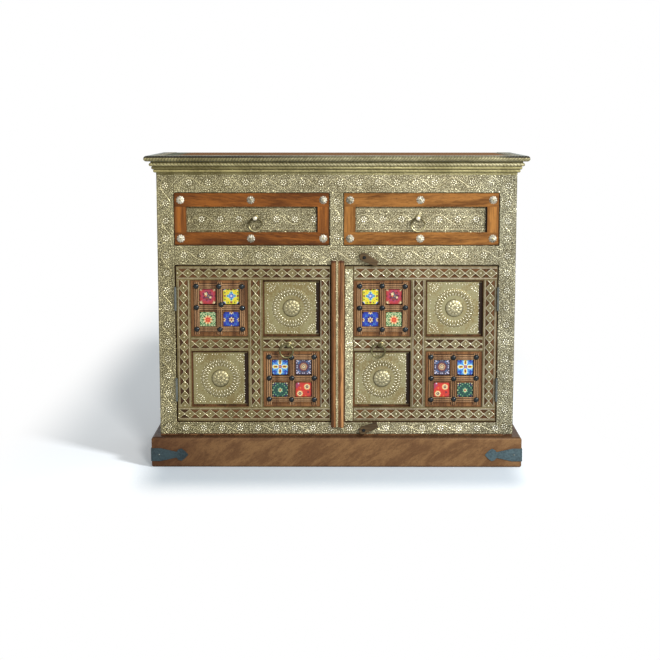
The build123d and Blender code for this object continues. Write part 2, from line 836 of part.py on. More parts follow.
def build_panel_faces(name, edges):
    """Boss sheets and tile frames, each kind corner to corner."""
    boss_sheets = []
    frames = []
    tiles = []
    for column, (x0, x1) in enumerate(panel_columns(edges)):
        for row, (z0, z1) in enumerate(door_rows):
            if column != row:
                frame, four = tile_frame(x0 + panel_fit, x1 - panel_fit, z0 + panel_fit, z1 - panel_fit)
                frames.append(frame)
                tiles.extend(four)
            else:
                boss_sheets.append(boss_sheet(x0 + boss_side_reveal, x1 - boss_side_reveal,
                                              z0 + boss_end_reveal, z1 - boss_end_reveal))
    save(f"{name}_boss_sheets", *boss_sheets)
    save(f"{name}_tile_frames", *frames)
    save(f"{name}_tiles", *tiles)


def build_door(name, side, edges, plain, pull_x, pull_lean):
    """One door, left (side -1) or right (1), with its leaves of the hinges and its pull."""
    place = pull_place(pull_x, door_eye_y, door_pull_z, pull_lean)
    hole = place * post_tail(door_pull_reach)
    build_door_wood(name, edges, hole)
    build_fretwork(name, side, edges, hole, plain)
    build_panel_faces(name, edges)
    leaves = [door_leaf(centre) for centre in hinge_centres]
    if side > 0:
        leaves = [mirror(leaf, Plane.YZ) for leaf in leaves]
    save(f"{name}_hinge_leaves", *leaves)
    build_pull(name, place, door_pull_reach)


def build_astragal():
    """Two half-rounds with a brass strip between them, rebated over the rails at both ends."""
    back = clad_face - astragal_clearance
    front = back - astragal_thickness
    x0 = right_meeting_edge
    x1 = x0 + astragal_width
    round_width = (astragal_width - astragal_channel) / 2
    channel_left = x0 + round_width
    channel_right = x1 - round_width
    shoulder = front + round_width / 2
    channel_floor = front + astragal_channel_depth
    lines = [
        Line((x0, back), (x0, shoulder)),
        ThreePointArc((x0, shoulder), (x0 + round_width / 2, front), (channel_left, shoulder)),
        Line((channel_left, shoulder), (channel_left, channel_floor)),
        Line((channel_left, channel_floor), (channel_right, channel_floor)),
        Line((channel_right, channel_floor), (channel_right, shoulder)),
        ThreePointArc((channel_right, shoulder), (x1 - round_width / 2, front), (x1, shoulder)),
        Line((x1, shoulder), (x1, back)),
        Line((x1, back), (x0, back)),
    ]
    low = door_sill - astragal_lap
    high = door_head + astragal_lap
    moulding = Pos(0, 0, low) * extrude(make_face(lines), high - low)
    tongue = block(x0, x1, back, door_face, door_bottom, door_top)
    save("astragal", moulding + tongue)
    save("astragal_strip", block(channel_left, channel_right, channel_floor - astragal_strip_thickness,
                                 channel_floor, low, high))


# ---- Turn buttons --------------------------------------------------------------------

def turn_button(x, z, angle):
    """A flat bar that tapers to its tip, bored for its screw. The angle is seen from the front."""
    wide = button_width / 2
    slim = button_tip_width / 2
    tail_x = -button_pivot_from_end
    tip_x = tail_x + button_length
    outline = Polygon((tail_x, -wide), (tip_x, -slim), (tip_x, slim), (tail_x, wide), align=None)
    bar = extrude(chamfer(outline.vertices(), button_chamfer), button_thickness)
    bar -= Cylinder(button_screw_radius + button_screw_clearance, 4 * button_thickness)
    return Pos(x, button_back, z) * Rot(0, -angle, 0) * Rot(90, 0, 0) * bar


def button_screw(x, z):
    """A shouldered screw: shank in the rail, washer on the brass, head in front of the bar."""
    head_back = button_back - button_thickness - button_head_gap
    head_front = head_back - button_head_height
    place = Pos(x, 0, z)
    washer = turned([(washer_radius, button_back), (washer_radius, clad_face)], button_head_sides)
    head = turned([(button_head_radius, head_back), (button_head_crown, head_front)], button_head_sides)
    shank = along_y(button_screw_radius, x, z, clad_face + button_screw_length, head_back)
    return place * washer + shank + place * head


def build_buttons():
    save("upper_turn_button", turn_button(button_pivot_x, upper_button_z, upper_button_angle))
    save("lower_turn_button", turn_button(button_pivot_x, lower_button_z, lower_button_angle))
    save("button_screws", button_screw(button_pivot_x, upper_button_z),
         button_screw(button_pivot_x, lower_button_z))


# ---- Drawers -------------------------------------------------------------------------

def build_drawer(name, side):
    """One drawer. The box hangs behind its front, with clearance on its runners."""
    inner = side * drawer_inner_edge
    outer = side * drawer_outer_edge
    toward = -side
    low, high = drawer_bottom_edge, drawer_top_edge
    place = pull_place(side * drawer_pull_x, drawer_eye_y, drawer_pull_z, 0.0)
    hole = place * post_tail(drawer_pull_reach)

    bars = [
        block(inner, outer, drawer_face, plate_face, high - drawer_top_bar, high),
        block(inner, outer, drawer_face, plate_face, low, low + drawer_bottom_bar),
        block(outer, outer + toward * drawer_side_bar, drawer_face, plate_face,
              low + drawer_bottom_bar, high - drawer_top_bar),
        block(inner, inner - toward * drawer_side_bar, drawer_face, plate_face,
              low + drawer_bottom_bar, high - drawer_top_bar),
    ]
    save(f"{name}_frame", *bars)
    plate = block(inner, outer, plate_face, drawer_board_face, low, high)
    save(f"{name}_plate", plate - hole)

    thickness = drawer_side_thickness
    outer_face = side * box_outer
    inner_face = side * box_inner
    bottom_low = box_bottom + drawer_bottom_rise
    bottom = block(outer_face + toward * (thickness - drawer_groove),
                   inner_face - toward * (thickness - drawer_groove),
                   drawer_board_back - drawer_groove, box_back - thickness + drawer_groove,
                   bottom_low, bottom_low + drawer_bottom_thickness)
    front = block(inner, outer, drawer_board_face, drawer_board_back, low, high)
    side_a = block(outer_face, outer_face + toward * thickness, drawer_board_back, box_back,
                   box_bottom, box_top)
    side_b = block(inner_face, inner_face - toward * thickness, drawer_board_back, box_back,
                   box_bottom, box_top)
    back = block(outer_face + toward * thickness, inner_face - toward * thickness,
                 box_back - thickness, box_back, box_bottom, box_top)
    save(f"{name}_box", front - bottom - hole, side_a - bottom, side_b - bottom, back - bottom)
    save(f"{name}_bottom", bottom)
    build_pull(name, place, drawer_pull_reach)


# ---- Everything ----------------------------------------------------------------------

build_plinth()
build_straps()
build_case()
build_inside()
build_runners()
build_top()
build_cladding()
build_frame_leaves()
left_edges = door_edges(-1, hinge_band_left, meeting_band_left, left_meeting_edge)
right_edges = door_edges(1, hinge_band_right, meeting_band_right, right_meeting_edge)
build_door("left_door", -1, left_edges, False, left_pull_x, left_ring_lean)
build_door("right_door", 1, right_edges, True, right_pull_x, right_ring_lean)
build_astragal()
build_buttons()
build_drawer("left_drawer", -1)
build_drawer("right_drawer", 1)
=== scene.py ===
# %% [markdown]
# # A sideboard clad in brass
# This lesson draws a low cabinet of dark wood whose front is covered in sheet brass. The wood, the sheets
# and the moving parts come from a measured model, the frame. Blender adds what a chisel, a punch and a brush
# leave behind: rope mouldings, chased flowers, studs, painted tiles, and the finish of every surface.

# %% Load the measured model
import bpy
import random
from math import atan2, cos, hypot, pi, radians, sin
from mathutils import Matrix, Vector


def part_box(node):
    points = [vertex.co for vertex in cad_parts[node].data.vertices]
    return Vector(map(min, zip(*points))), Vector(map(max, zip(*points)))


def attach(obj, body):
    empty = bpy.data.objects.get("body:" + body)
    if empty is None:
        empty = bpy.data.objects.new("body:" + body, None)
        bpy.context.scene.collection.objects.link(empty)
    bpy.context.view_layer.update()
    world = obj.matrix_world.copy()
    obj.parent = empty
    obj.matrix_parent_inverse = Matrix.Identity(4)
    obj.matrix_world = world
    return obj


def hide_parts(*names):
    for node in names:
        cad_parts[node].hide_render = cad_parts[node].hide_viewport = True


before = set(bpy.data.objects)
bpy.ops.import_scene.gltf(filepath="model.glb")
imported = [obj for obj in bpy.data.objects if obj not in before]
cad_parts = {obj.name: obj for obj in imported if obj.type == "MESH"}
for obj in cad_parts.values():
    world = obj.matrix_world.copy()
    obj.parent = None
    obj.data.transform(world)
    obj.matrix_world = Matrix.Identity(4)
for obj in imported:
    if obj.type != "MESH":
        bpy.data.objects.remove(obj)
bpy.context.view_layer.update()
print("pieces in the frame:", len(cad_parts))

# %% [markdown]
# ## Millimetres
# A cabinet maker works in millimetres and Blender in metres. Every size below is written in millimetres and
# is turned into metres only when a mesh, a lamp or the camera is made. Boxes of the frame are turned the
# other way.

# %% Boxes of the frame, in millimetres
MM = 0.001


def box_mm(node):
    """Lowest and highest corner of a piece of the frame."""
    low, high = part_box(node)
    return [value / MM for value in low], [value / MM for value in high]


sheets_low, sheets_high = box_mm("sheet_cladding")
print("the sheets reach from", [round(v, 1) for v in sheets_low], "to", [round(v, 1) for v in sheets_high])

# %% [markdown]
# ## Camera
# The camera stands nearly four metres away, a little higher than the top, and looks slightly down. A long
# lens keeps the uprights parallel, as in furniture catalogues.

# %% Camera
camera_place = (-0.75, -3900.0, 1018.2)
looking_down = 0.13247
looking_left = 0.00491
lens_per_frame_width = 1.9657
frame_shift_down = -0.06

camera_data = bpy.data.cameras.new("camera")
camera_data.sensor_width = 36.0
camera_data.lens = camera_data.sensor_width * lens_per_frame_width
camera_data.shift_y = frame_shift_down
camera_data.clip_end = 100.0
camera = bpy.data.objects.new("camera", camera_data)
camera.location = [value * MM for value in camera_place]
camera.rotation_euler = (pi / 2 - looking_down, 0.0, looking_left)
bpy.context.scene.collection.objects.link(camera)
bpy.context.scene.camera = camera
bpy.context.scene.view_settings.view_transform = "Standard"
print("lens", round(camera_data.lens, 1), "mm")

# %% [markdown]
# ## Helpers for node trees
# Materials and geometry trees are built from the same few moves: put a node, link or set its inputs, and do
# a little arithmetic. These helpers keep each later cell short.

# %% Helpers for node trees
def put(tree, kind, inputs=None, **options):
    """Add a node. An input is linked if its value is a socket, and set otherwise."""
    node = tree.nodes.new(kind)
    for name, value in options.items():
        setattr(node, name, value)
    for name, value in (inputs or {}).items():
        if isinstance(value, bpy.types.NodeSocket):
            tree.links.new(value, node.inputs[name])
        else:
            node.inputs[name].default_value = value
    return node


def calc(tree, operation, *values):
    """A Math node's result."""
    return put(tree, "ShaderNodeMath", dict(enumerate(values)), operation=operation).outputs[0]


def paint(tree, mask, under, over, way="MIX"):
    """The colour over, laid on the colour under where mask is 1."""
    mix = put(tree, "ShaderNodeMix", {0: mask, 6: under, 7: over}, data_type="RGBA", blend_type=way)
    return mix.outputs[2]


def ramp(tree, value, low, high, first=0.0, last=1.0):
    """A value between low and high, spread smoothly from first to last."""
    spread = put(tree, "ShaderNodeMapRange", {0: value, 1: low, 2: high, 3: first, 4: last},
                 interpolation_type="SMOOTHSTEP")
    return spread.outputs[0]


def noise(tree, vector, scale, detail=2.0, distortion=0.0):
    """Soft noise between 0 and 1."""
    return put(tree, "ShaderNodeTexNoise", {"Vector": vector, "Scale": scale, "Detail": detail,
                                            "Distortion": distortion}).outputs[0]


def stretched(tree, vector, scale, turn=(0.0, 0.0, 0.0)):
    """The same coordinates, stretched and turned."""
    return put(tree, "ShaderNodeMapping", {"Vector": vector, "Scale": scale, "Rotation": turn}).outputs[0]


def vector_calc(tree, operation, *values):
    """A Vector Math node's result."""
    return put(tree, "ShaderNodeVectorMath", dict(enumerate(values)), operation=operation).outputs[0]


def split(tree, vector):
    """The three parts of a vector."""
    return put(tree, "ShaderNodeSeparateXYZ", {0: vector}).outputs


def swirl(tree, vector, scale, detail, reach):
    """Small steps aside, by soft noise, that bend a pattern when they are added to its coordinates."""
    cloud = put(tree, "ShaderNodeTexNoise", {"Vector": vector, "Scale": scale, "Detail": detail})
    centred = vector_calc(tree, "SUBTRACT", cloud.outputs["Color"], (0.5, 0.5, 0.5))
    return put(tree, "ShaderNodeVectorMath", {0: centred, "Scale": reach}, operation="SCALE").outputs[0]


def object_place(tree):
    """Object coordinates, in metres."""
    return put(tree, "ShaderNodeTexCoord").outputs["Object"]


def srgb(red, green, blue):
    """A colour picked on screen, 0 to 255, as the linear colour that a shader wants."""
    parts = [value / 255 for value in (red, green, blue)]
    return tuple(p / 12.92 if p <= 0.04045 else ((p + 0.055) / 1.055) ** 2.4 for p in parts) + (1.0,)


def shader_group(name, inputs, outputs):
    """An empty shader group with named sockets, and the sockets of its two ends."""
    group = bpy.data.node_groups.new(name, "ShaderNodeTree")
    for title, kind, start in inputs:
        socket = group.interface.new_socket(name=title, in_out="INPUT", socket_type=kind)
        if start is not None:
            socket.default_value = start
    for title, kind in outputs:
        group.interface.new_socket(name=title, in_out="OUTPUT", socket_type=kind)
    return group, group.nodes.new("NodeGroupInput").outputs, group.nodes.new("NodeGroupOutput").inputs


COLOUR = "NodeSocketColor"
VALUE = "NodeSocketFloat"
VECTOR = "NodeSocketVector"
SKIN = [("Colour", COLOUR), ("Roughness", VALUE), ("Height", VALUE)]

# %% [markdown]
# ## Floor and light
# The cabinet stands in a white studio. The floor is pale and keeps the shadow, and it fades into the white
# backdrop with distance. Light comes low from the front and a little from the right, as through a wide
# window, and a side lamp lets every recess throw a shadow. White behind the object is shown only to rays
# from the camera, a mirror or a lens, so it puts no extra light on the wood.

# %% Floor that fades to white
floor_reach = 30000.0
fade_starts = 2.0
fade_ends = 3.8
fade_front = (-0.30, -0.60)
fade_left = (-0.76, -1.08)
fade_right = (0.60, 0.85)
floor_colour = (0.76, 0.79, 0.81, 1.0)
floor_colour_seen = (0.96, 0.98, 1.0, 1.0)
floor_lift = 0.17
floor_lift_colour = (0.90, 0.97, 1.0, 1.0)
pure_white = (1.0, 1.0, 1.0, 1.0)
contact_shade = (0.42, 0.46, 0.50, 1.0)
contact_reach = (-0.60, -0.30)
contact_half = (0.62, 0.48)


def straight_rays(tree):
    """1 for rays that come from the camera, a reflection or a refraction."""
    path = put(tree, "ShaderNodeLightPath").outputs
    mirror = calc(tree, "MAXIMUM", path["Is Camera Ray"], path["Is Glossy Ray"])
    return calc(tree, "MAXIMUM", mirror, path["Is Transmission Ray"])


def floor_finish():
    """Pale floor with a painted shade under the cabinet. It fades to white far off."""
    material = bpy.data.materials.new("studio_floor")
    material.use_nodes = True
    tree = material.node_tree
    tree.nodes.clear()
    place = object_place(tree)
    distance = put(tree, "ShaderNodeVectorMath", {0: place}, operation="LENGTH").outputs["Value"]
    parts = split(tree, place)
    far = ramp(tree, distance, fade_starts, fade_ends)
    for axis, fade in ((0, fade_left), (0, fade_right), (1, fade_front)):
        far = calc(tree, "MAXIMUM", far, ramp(tree, parts[axis], *fade))
    straight = straight_rays(tree)
    pale = paint(tree, straight, floor_colour, floor_colour_seen)
    # Painted shadow: the floor's colour is darkened in front of and under the cabinet.
    under = calc(tree, "MULTIPLY", ramp(tree, parts[1], *contact_reach),
                 ramp(tree, calc(tree, "ABSOLUTE", parts[0]), *contact_half))
    pale = paint(tree, under, pale, contact_shade)
    near = put(tree, "ShaderNodeBsdfDiffuse", {"Color": pale})
    lift = calc(tree, "MULTIPLY", straight, floor_lift)
    glow = put(tree, "ShaderNodeEmission", {"Color": floor_lift_colour, "Strength": lift})
    near = put(tree, "ShaderNodeAddShader", {0: near.outputs[0], 1: glow.outputs[0]})
    white = put(tree, "ShaderNodeEmission", {"Color": pure_white, "Strength": 1.0})
    seen = calc(tree, "MULTIPLY", far, straight)
    both = put(tree, "ShaderNodeMixShader", {0: seen, 1: near.outputs[0], 2: white.outputs[0]})
    put(tree, "ShaderNodeOutputMaterial", {"Surface": both.outputs[0]})
    return material


floor_mesh = bpy.data.meshes.new("floor")
reach = floor_reach * MM
floor_mesh.from_pydata([(-reach, -reach, 0), (reach, -reach, 0), (reach, reach, 0), (-reach, reach, 0)],
                       [], [(0, 1, 2, 3)])
floor_mesh.materials.append(floor_finish())
floor = bpy.data.objects.new("floor", floor_mesh)
bpy.context.scene.collection.objects.link(floor)
print("floor is", 2 * reach, "m wide")

# %% [markdown]
# ## Lamps
# A sun with a wide disc gives the main light and its soft edged shadow. A square lamp at the right models
# every raised line, and the white surround fills the shadows.

# %% Lamps and the white surround
sun_strength, sun_disc = 1.30, radians(9)
sun_aside, sun_height = radians(19), radians(23)
sun_colour = (1.0, 0.985, 0.96)
side_lamp_place, side_lamp_aim = (1950.0, -2000.0, 1850.0), (100.0, -200.0, 500.0)
side_lamp_width, side_lamp_power = 500.0, 112.0
side_lamp_colour = (0.94, 0.97, 1.0)
surround_strength = 0.40
surround_colour = (0.95, 0.98, 1.0, 1.0)


def soft_lamp(name, place, aim, width, power, tint):
    """A square lamp at place that looks at aim, both in millimetres."""
    data = bpy.data.lights.new(name, "AREA")
    data.size = width * MM
    data.energy = power
    data.color = tint
    lamp = bpy.data.objects.new(name, data)
    lamp.location = [value * MM for value in place]
    across, back, up = [a - p for a, p in zip(aim, place)]
    lamp.rotation_euler = (pi / 2 + atan2(up, hypot(across, back)), 0.0, atan2(back, across) - pi / 2)
    lamp.visible_camera = False
    bpy.context.scene.collection.objects.link(lamp)


def white_surround(strength):
    """Even light from all round, which shows as pure white behind the cabinet."""
    world = bpy.data.worlds.new("studio")
    world.use_nodes = True
    tree = world.node_tree
    tree.nodes.clear()
    shown = put(tree, "ShaderNodeBackground", {"Color": pure_white, "Strength": 1.0})
    light = put(tree, "ShaderNodeBackground", {"Color": surround_colour, "Strength": strength})
    both = put(tree, "ShaderNodeMixShader",
               {0: straight_rays(tree), 1: light.outputs[0], 2: shown.outputs[0]})
    put(tree, "ShaderNodeOutputWorld", {"Surface": both.outputs[0]})
    bpy.context.scene.world = world


sun_data = bpy.data.lights.new("window_light", "SUN")
sun_data.energy = sun_strength
sun_data.angle = sun_disc
sun_data.color = sun_colour
sun = bpy.data.objects.new("window_light", sun_data)
sun.rotation_euler = (pi / 2 - sun_height, 0.0, sun_aside)
bpy.context.scene.collection.objects.link(sun)
soft_lamp("side_lamp", side_lamp_place, side_lamp_aim, side_lamp_width, side_lamp_power, side_lamp_colour)
white_surround(surround_strength)
print("a low sun, a side lamp and a white surround")

# %% [markdown]
# ## Wood
# Timber shows three things at three scales: wide bands of colour, fine fibres along the board, and short
# dark pores. All three are noise stretched along the grain, so one group serves every board. A material
# chooses the direction by stretching the coordinates before they enter the group.

# %% The grain group
band_scale, streak_scale, fibre_scale, pore_scale = 38.0, 90.0, 260.0, 900.0
pore_colour = (0.02, 0.010, 0.006, 1.0)

grain, grain_in, grain_out = shader_group(
    "timber_grain",
    [("Vector", VECTOR, None), ("Pale", COLOUR, (0.4, 0.2, 0.1, 1.0)),
     ("Deep", COLOUR, (0.1, 0.05, 0.02, 1.0)), ("Streaks", VALUE, 0.5)], SKIN)


def build_grain():
    tree = grain
    along = grain_in["Vector"]
    bands = noise(tree, along, band_scale, 3.0, 0.9)
    fibres = noise(tree, along, fibre_scale, 4.0, 0.2)
    pores = noise(tree, along, pore_scale, 1.0)
    figure = calc(tree, "ADD", calc(tree, "MULTIPLY", bands, 0.65), calc(tree, "MULTIPLY", fibres, 0.35))
    tone = ramp(tree, figure, 0.36, 0.66)
    colour = paint(tree, tone, grain_in["Deep"], grain_in["Pale"])
    streak = ramp(tree, noise(tree, along, streak_scale, 2.0, 1.6), 0.58, 0.68)
    streak = calc(tree, "MULTIPLY", streak, grain_in["Streaks"])
    colour = paint(tree, streak, colour, grain_in["Deep"])
    pit = ramp(tree, pores, 0.62, 0.70)
    colour = paint(tree, calc(tree, "MULTIPLY", pit, 0.45), colour, pore_colour)
    tree.links.new(colour, grain_out["Colour"])
    tree.links.new(ramp(tree, fibres, 0.3, 0.7, 0.42, 0.56), grain_out["Roughness"])
    tree.links.new(calc(tree, "SUBTRACT", fibres, calc(tree, "MULTIPLY", pit, 0.6)), grain_out["Height"])


def timber(tree, vector, pale, deep, streaks):
    """What the grain group gives in a material."""
    return put(tree, "ShaderNodeGroup", {"Vector": vector, "Pale": pale, "Deep": deep, "Streaks": streaks},
               node_tree=grain).outputs


build_grain()
print("grain group has", len(grain.nodes), "nodes")

# %% [markdown]
# ## Waxed boards
# Each board gets the grain group with its own two colours and direction. The wax is a thin coat over fairly
# rough wood. Tints that fade one way are laid over it: painted light and shade, and plain changes of tone.

# %% Wooden finishes
lying = (0.055, 1.0, 1.0)
lying_round = (0.055, 0.055, 1.0)
upright = (1.0, 1.0, 0.055)
slanting = (0.3, 0.3, 0.8)
long_bar_grain = (0.11, 1.0, 0.8)
unstretched = (1.0, 1.0, 1.0)


def new_finish(name, constants):
    """A material and its tree and shader, with the constants set on the shader itself."""
    material = bpy.data.materials.new(name)
    material.use_nodes = True
    shader = material.node_tree.nodes["Principled BSDF"]
    for title, value in constants.items():
        shader.inputs[title].default_value = value
    return material, material.node_tree, shader


def roughen(tree, shader, height, strength, distance):
    """Let a height over the surface tilt the shader's normal."""
    lift = put(tree, "ShaderNodeBump", {"Height": height, "Strength": strength, "Distance": distance})
    tree.links.new(lift.outputs[0], shader.inputs["Normal"])


def dress(tree, shader, source, bump=0.25, depth=0.0004):
    """Feed a group's colour, roughness and height to the shader."""
    tree.links.new(source["Colour"], shader.inputs["Base Color"])
    tree.links.new(source["Roughness"], shader.inputs["Roughness"])
    roughen(tree, shader, source["Height"], bump, depth)


def toned(material, axis, full, gone, tint):
    """Multiply the colour by a tint that is full on one side of a place and gone past another, both in mm."""
    tree = material.node_tree
    socket = tree.nodes["Principled BSDF"].inputs["Base Color"]
    along = split(tree, object_place(tree))[axis]
    ends = (1, 0) if full < gone else (0, 1)
    mask = ramp(tree, along, min(full, gone) * MM, max(full, gone) * MM, *ends)
    tree.links.new(paint(tree, mask, socket.links[0].from_socket, (*tint, 1.0), "MULTIPLY"), socket)


def wood_finish(name, pale, deep, way, streaks=0.4, wax=0.06, tilt=0.0, gloss=0.12):
    """Waxed wood whose grain runs the given way, leaning by tilt degrees. Colours are as srgb takes them."""
    pale, deep = srgb(*pale), srgb(*deep)
    material, tree, shader = new_finish(name, {"Coat Weight": wax, "Coat Roughness": 0.4,
                                               "Specular IOR Level": gloss})
    turned = stretched(tree, object_place(tree), unstretched, (0.0, radians(tilt), 0.0))
    along = stretched(tree, turned, way)
    dress(tree, shader, timber(tree, along, pale, deep, streaks))
    return material


plinth_wood = wood_finish("plinth_wood", (120, 88, 55), (92, 63, 38), slanting, 0.3, tilt=34.0)
case_wood = wood_finish("case_wood", (112, 76, 46), (68, 42, 24), upright)
top_wood = wood_finish("top_wood", (164, 120, 82), (122, 84, 56), lying, 0.5, 0.0, gloss=0.0)
door_wood = wood_finish("door_wood", (99, 67, 41), (54, 36, 21), lying, gloss=0.05)
door_stile_wood = wood_finish("door_stile_wood", (99, 67, 41), (54, 36, 21), upright, gloss=0.05)
shelf_wood = wood_finish("shelf_wood", (112, 76, 46), (68, 42, 24), lying)
frame_wood = wood_finish("frame_wood", (124, 84, 48), (74, 46, 25), upright, 0.3)
# Painted highlight: the reeds take a paler copy of the frame's wood.
reed_wood = wood_finish("reed_wood", (158, 122, 86), (96, 66, 42), upright, 0.3)
astragal_wood = wood_finish("astragal_wood", (142, 98, 58), (66, 38, 21), upright, 0.8)
button_wood = wood_finish("button_wood", (86, 68, 44), (54, 42, 27), lying, 0.4)
# Painted shade: wires in the reeds' grooves and laths of shadow at the sheets' right edges.
groove_wood = wood_finish("groove_wood", (48, 32, 20), (28, 18, 11), upright)
drawer_wood = wood_finish("drawer_wood", (160, 122, 82), (118, 82, 52), lying_round, 0.3, 0.0)
channel_low, channel_high = box_mm("astragal_strip")
astragal_low, astragal_high = box_mm("astragal")
plinth_high = box_mm("plinth_front")[1]
lip, astragal_top, plinth_top = channel_high[0], astragal_high[2], plinth_high[2]
# The axis is 0 across and 2 up. Then come where the tint is full, where it is gone, and the tint
painted_shade_and_tints = [
    # Painted light and shade on the astragal: its left half-round is darkened on its shaded side, and the
    # right one is brightened from the channel's edge and darkened again towards its own right edge.
    (astragal_wood, 0, channel_low[0], lip, (0.78, 0.74, 0.72)),
    (astragal_wood, 0, lip - 3.0, lip - 5.0, (1.75, 1.9, 2.0)),
    (astragal_wood, 0, lip + 13.0, lip + 8.0, (0.45, 0.47, 0.50)),
    (astragal_wood, 0, lip + 17.0, lip + 14.5, (0.60, 0.58, 0.56)),
    # Darker at the astragal's top.
    (astragal_wood, 2, astragal_top - 3.0, astragal_top - 9.0, (0.42, 0.36, 0.40)),
    # Darker towards the left of the plinth.
    (plinth_wood, 0, -550.0, -240.0, (0.58, 0.50, 0.48)),
    # Painted shadow along the plinth's top, under the cladding.
    (plinth_wood, 2, plinth_top - 0.5, plinth_top - 6.0, (0.40, 0.36, 0.36))]
for tint_row in painted_shade_and_tints:
    toned(*tint_row)
print("twelve plain woods")

# %% [markdown]
# ## Sheen of the top
# Seen from above, wax shines on a board. Seen along its face the same wax only pales it, and that sheen
# is painted: Layer Weight tells one from the other, so the coat goes and a paler colour comes as the look
# gets more grazing.

# %% Sheen that goes at a grazing look
def sheen(material, weight, painted_sheen):
    """A coat of some weight that gives way to a painted sheen of one colour at a grazing look."""
    tree = material.node_tree
    inputs = tree.nodes["Principled BSDF"].inputs
    facing = put(tree, "ShaderNodeLayerWeight", {"Blend": 0.5}).outputs["Facing"]
    tree.links.new(ramp(tree, facing, 0.70, 0.92, weight, 0.0), inputs["Coat Weight"])
    colour = inputs["Base Color"].links[0].from_socket
    tree.links.new(paint(tree, ramp(tree, facing, 0.80, 0.97, 0.0, 0.75), colour, painted_sheen), inputs["Base Color"])


sheen(top_wood, 0.12, srgb(140, 106, 78))
# Painted reflection: both ends of the top are tinted greyer and bluer.
top_end_painted_reflection = (0.70, 1.35, 2.0)
for full, gone in ((-480.0, -440.0), (505.0, 480.0)):
    toned(top_wood, 0, full, gone, top_end_painted_reflection)
print("the top is greyer at both ends")

# %% [markdown]
# ## Wood of the drawer fronts
# The face frame of a drawer is one piece of the frame, but has boards in two directions. Its material asks
# where on the front it is: near the ends, between the long bars, the grain stands upright.

# %% Drawer fronts with boards in two directions
upright_bar_tint = (1.35, 1.4, 1.4, 1.0)


def drawer_front_wood(name, node, side_bar, top_bar, bottom_bar, pale, deep, lean):
    """Upright grain on the two side bars, lying grain on the long bars."""
    low, high = box_mm(node)
    material, tree, shader = new_finish(name, {"Coat Weight": 0.03, "Coat Roughness": 0.35,
                                               "Specular IOR Level": 0.06})
    place = object_place(tree)
    parts = split(tree, place)
    middle = (low[0] + high[0]) / 2 * MM
    aside = calc(tree, "ABSOLUTE", calc(tree, "SUBTRACT", parts[0], middle))
    at_end = calc(tree, "GREATER_THAN", aside, ((high[0] - low[0]) / 2 - side_bar) * MM)
    above = calc(tree, "GREATER_THAN", parts[2], (low[2] + bottom_bar) * MM)
    below = calc(tree, "LESS_THAN", parts[2], (high[2] - top_bar) * MM)
    standing = calc(tree, "MULTIPLY", at_end, calc(tree, "MULTIPLY", above, below))
    leaning = stretched(tree, place, unstretched, (0.0, radians(lean), 0.0))
    level = stretched(tree, leaning, long_bar_grain)
    bars = timber(tree, level, pale, deep, 0.6)
    ends = timber(tree, stretched(tree, place, upright), pale, deep, 0.4)
    lighter = paint(tree, 1.0, ends["Colour"], upright_bar_tint, "MULTIPLY")
    tree.links.new(paint(tree, standing, bars["Colour"], lighter), shader.inputs["Base Color"])
    tree.links.new(bars["Roughness"], shader.inputs["Roughness"])
    roughen(tree, shader, bars["Height"], 0.2, 0.0004)
    return material


drawer_side_bar = 33.0
drawer_top_bar = 39.0
drawer_bottom_bar = 36.0
# The left drawer's colours are darker than the right's: partly its own tone, partly painted shade.
drawer_colours = {"left_drawer": (srgb(126, 74, 30), srgb(74, 41, 18), -4.0),
                  "right_drawer": (srgb(137, 91, 44), srgb(84, 51, 22), 5.0)}
drawer_woods = {name: drawer_front_wood(f"{name}_wood", f"{name}_frame", drawer_side_bar, drawer_top_bar,
                                        drawer_bottom_bar, *colours)
                for name, colours in drawer_colours.items()}
print("drawer fronts:", sorted(drawer_woods))

# %% [markdown]
# ## Aged brass
# Old sheet brass is bright where hands polish it and olive brown where they don't reach. One group mixes a
# bright and a dull colour by patches, darkens small pits, and gives a roughness that follows.

# %% The patina group
patch_scale, spot_scale, fine_scale = 14.0, 160.0, 700.0

patina, patina_in, patina_out = shader_group(
    "brass_patina",
    [("Vector", VECTOR, None), ("Bright", COLOUR, (0.5, 0.45, 0.3, 1.0)),
     ("Dull", COLOUR, (0.2, 0.17, 0.1, 1.0)), ("Age", VALUE, 0.5)], SKIN)


def build_patina():
    tree = patina
    place = patina_in["Vector"]
    patches = noise(tree, place, patch_scale, 3.0)
    spots = noise(tree, place, spot_scale, 3.0)
    fine = noise(tree, place, fine_scale, 2.0)
    tarnish = calc(tree, "ADD", calc(tree, "MULTIPLY", patches, 0.5), calc(tree, "MULTIPLY", spots, 0.5))
    dull = calc(tree, "MULTIPLY", ramp(tree, tarnish, 0.40, 0.62), patina_in["Age"])
    colour = paint(tree, dull, patina_in["Bright"], patina_in["Dull"])
    pit = ramp(tree, fine, 0.60, 0.74)
    colour = paint(tree, calc(tree, "MULTIPLY", pit, 0.5), colour, patina_in["Dull"])
    tree.links.new(colour, patina_out["Colour"])
    tree.links.new(calc(tree, "ADD", calc(tree, "MULTIPLY", dull, 0.2), 0.34), patina_out["Roughness"])
    tree.links.new(calc(tree, "ADD", spots, calc(tree, "MULTIPLY", fine, 0.4)), patina_out["Height"])


def aged(tree, vector, bright, dull, age):
    """What the patina group gives in a material."""
    return put(tree, "ShaderNodeGroup", {"Vector": vector, "Bright": bright, "Dull": dull, "Age": age},
               node_tree=patina).outputs


build_patina()
print("patina group has", len(patina.nodes), "nodes")

# %% [markdown]
# ## Punched strokes
# Chasing leaves short strokes close together, bright on top and dark in the gaps between. The cells of a
# Voronoi texture do that, if they are drawn out one way and a soft swirl bends their rows.

# %% The chasing group
swirl_scale, swirl_reach = 45.0, 0.03
stroke_shape, stroke_turn = (0.55, 1.0, 1.0), radians(38)

chasing, chasing_in, chasing_out = shader_group(
    "punched_strokes", [("Vector", VECTOR, None), ("Strokes per metre", VALUE, 240.0)],
    [("Raised", VALUE), ("Gap", VALUE)])


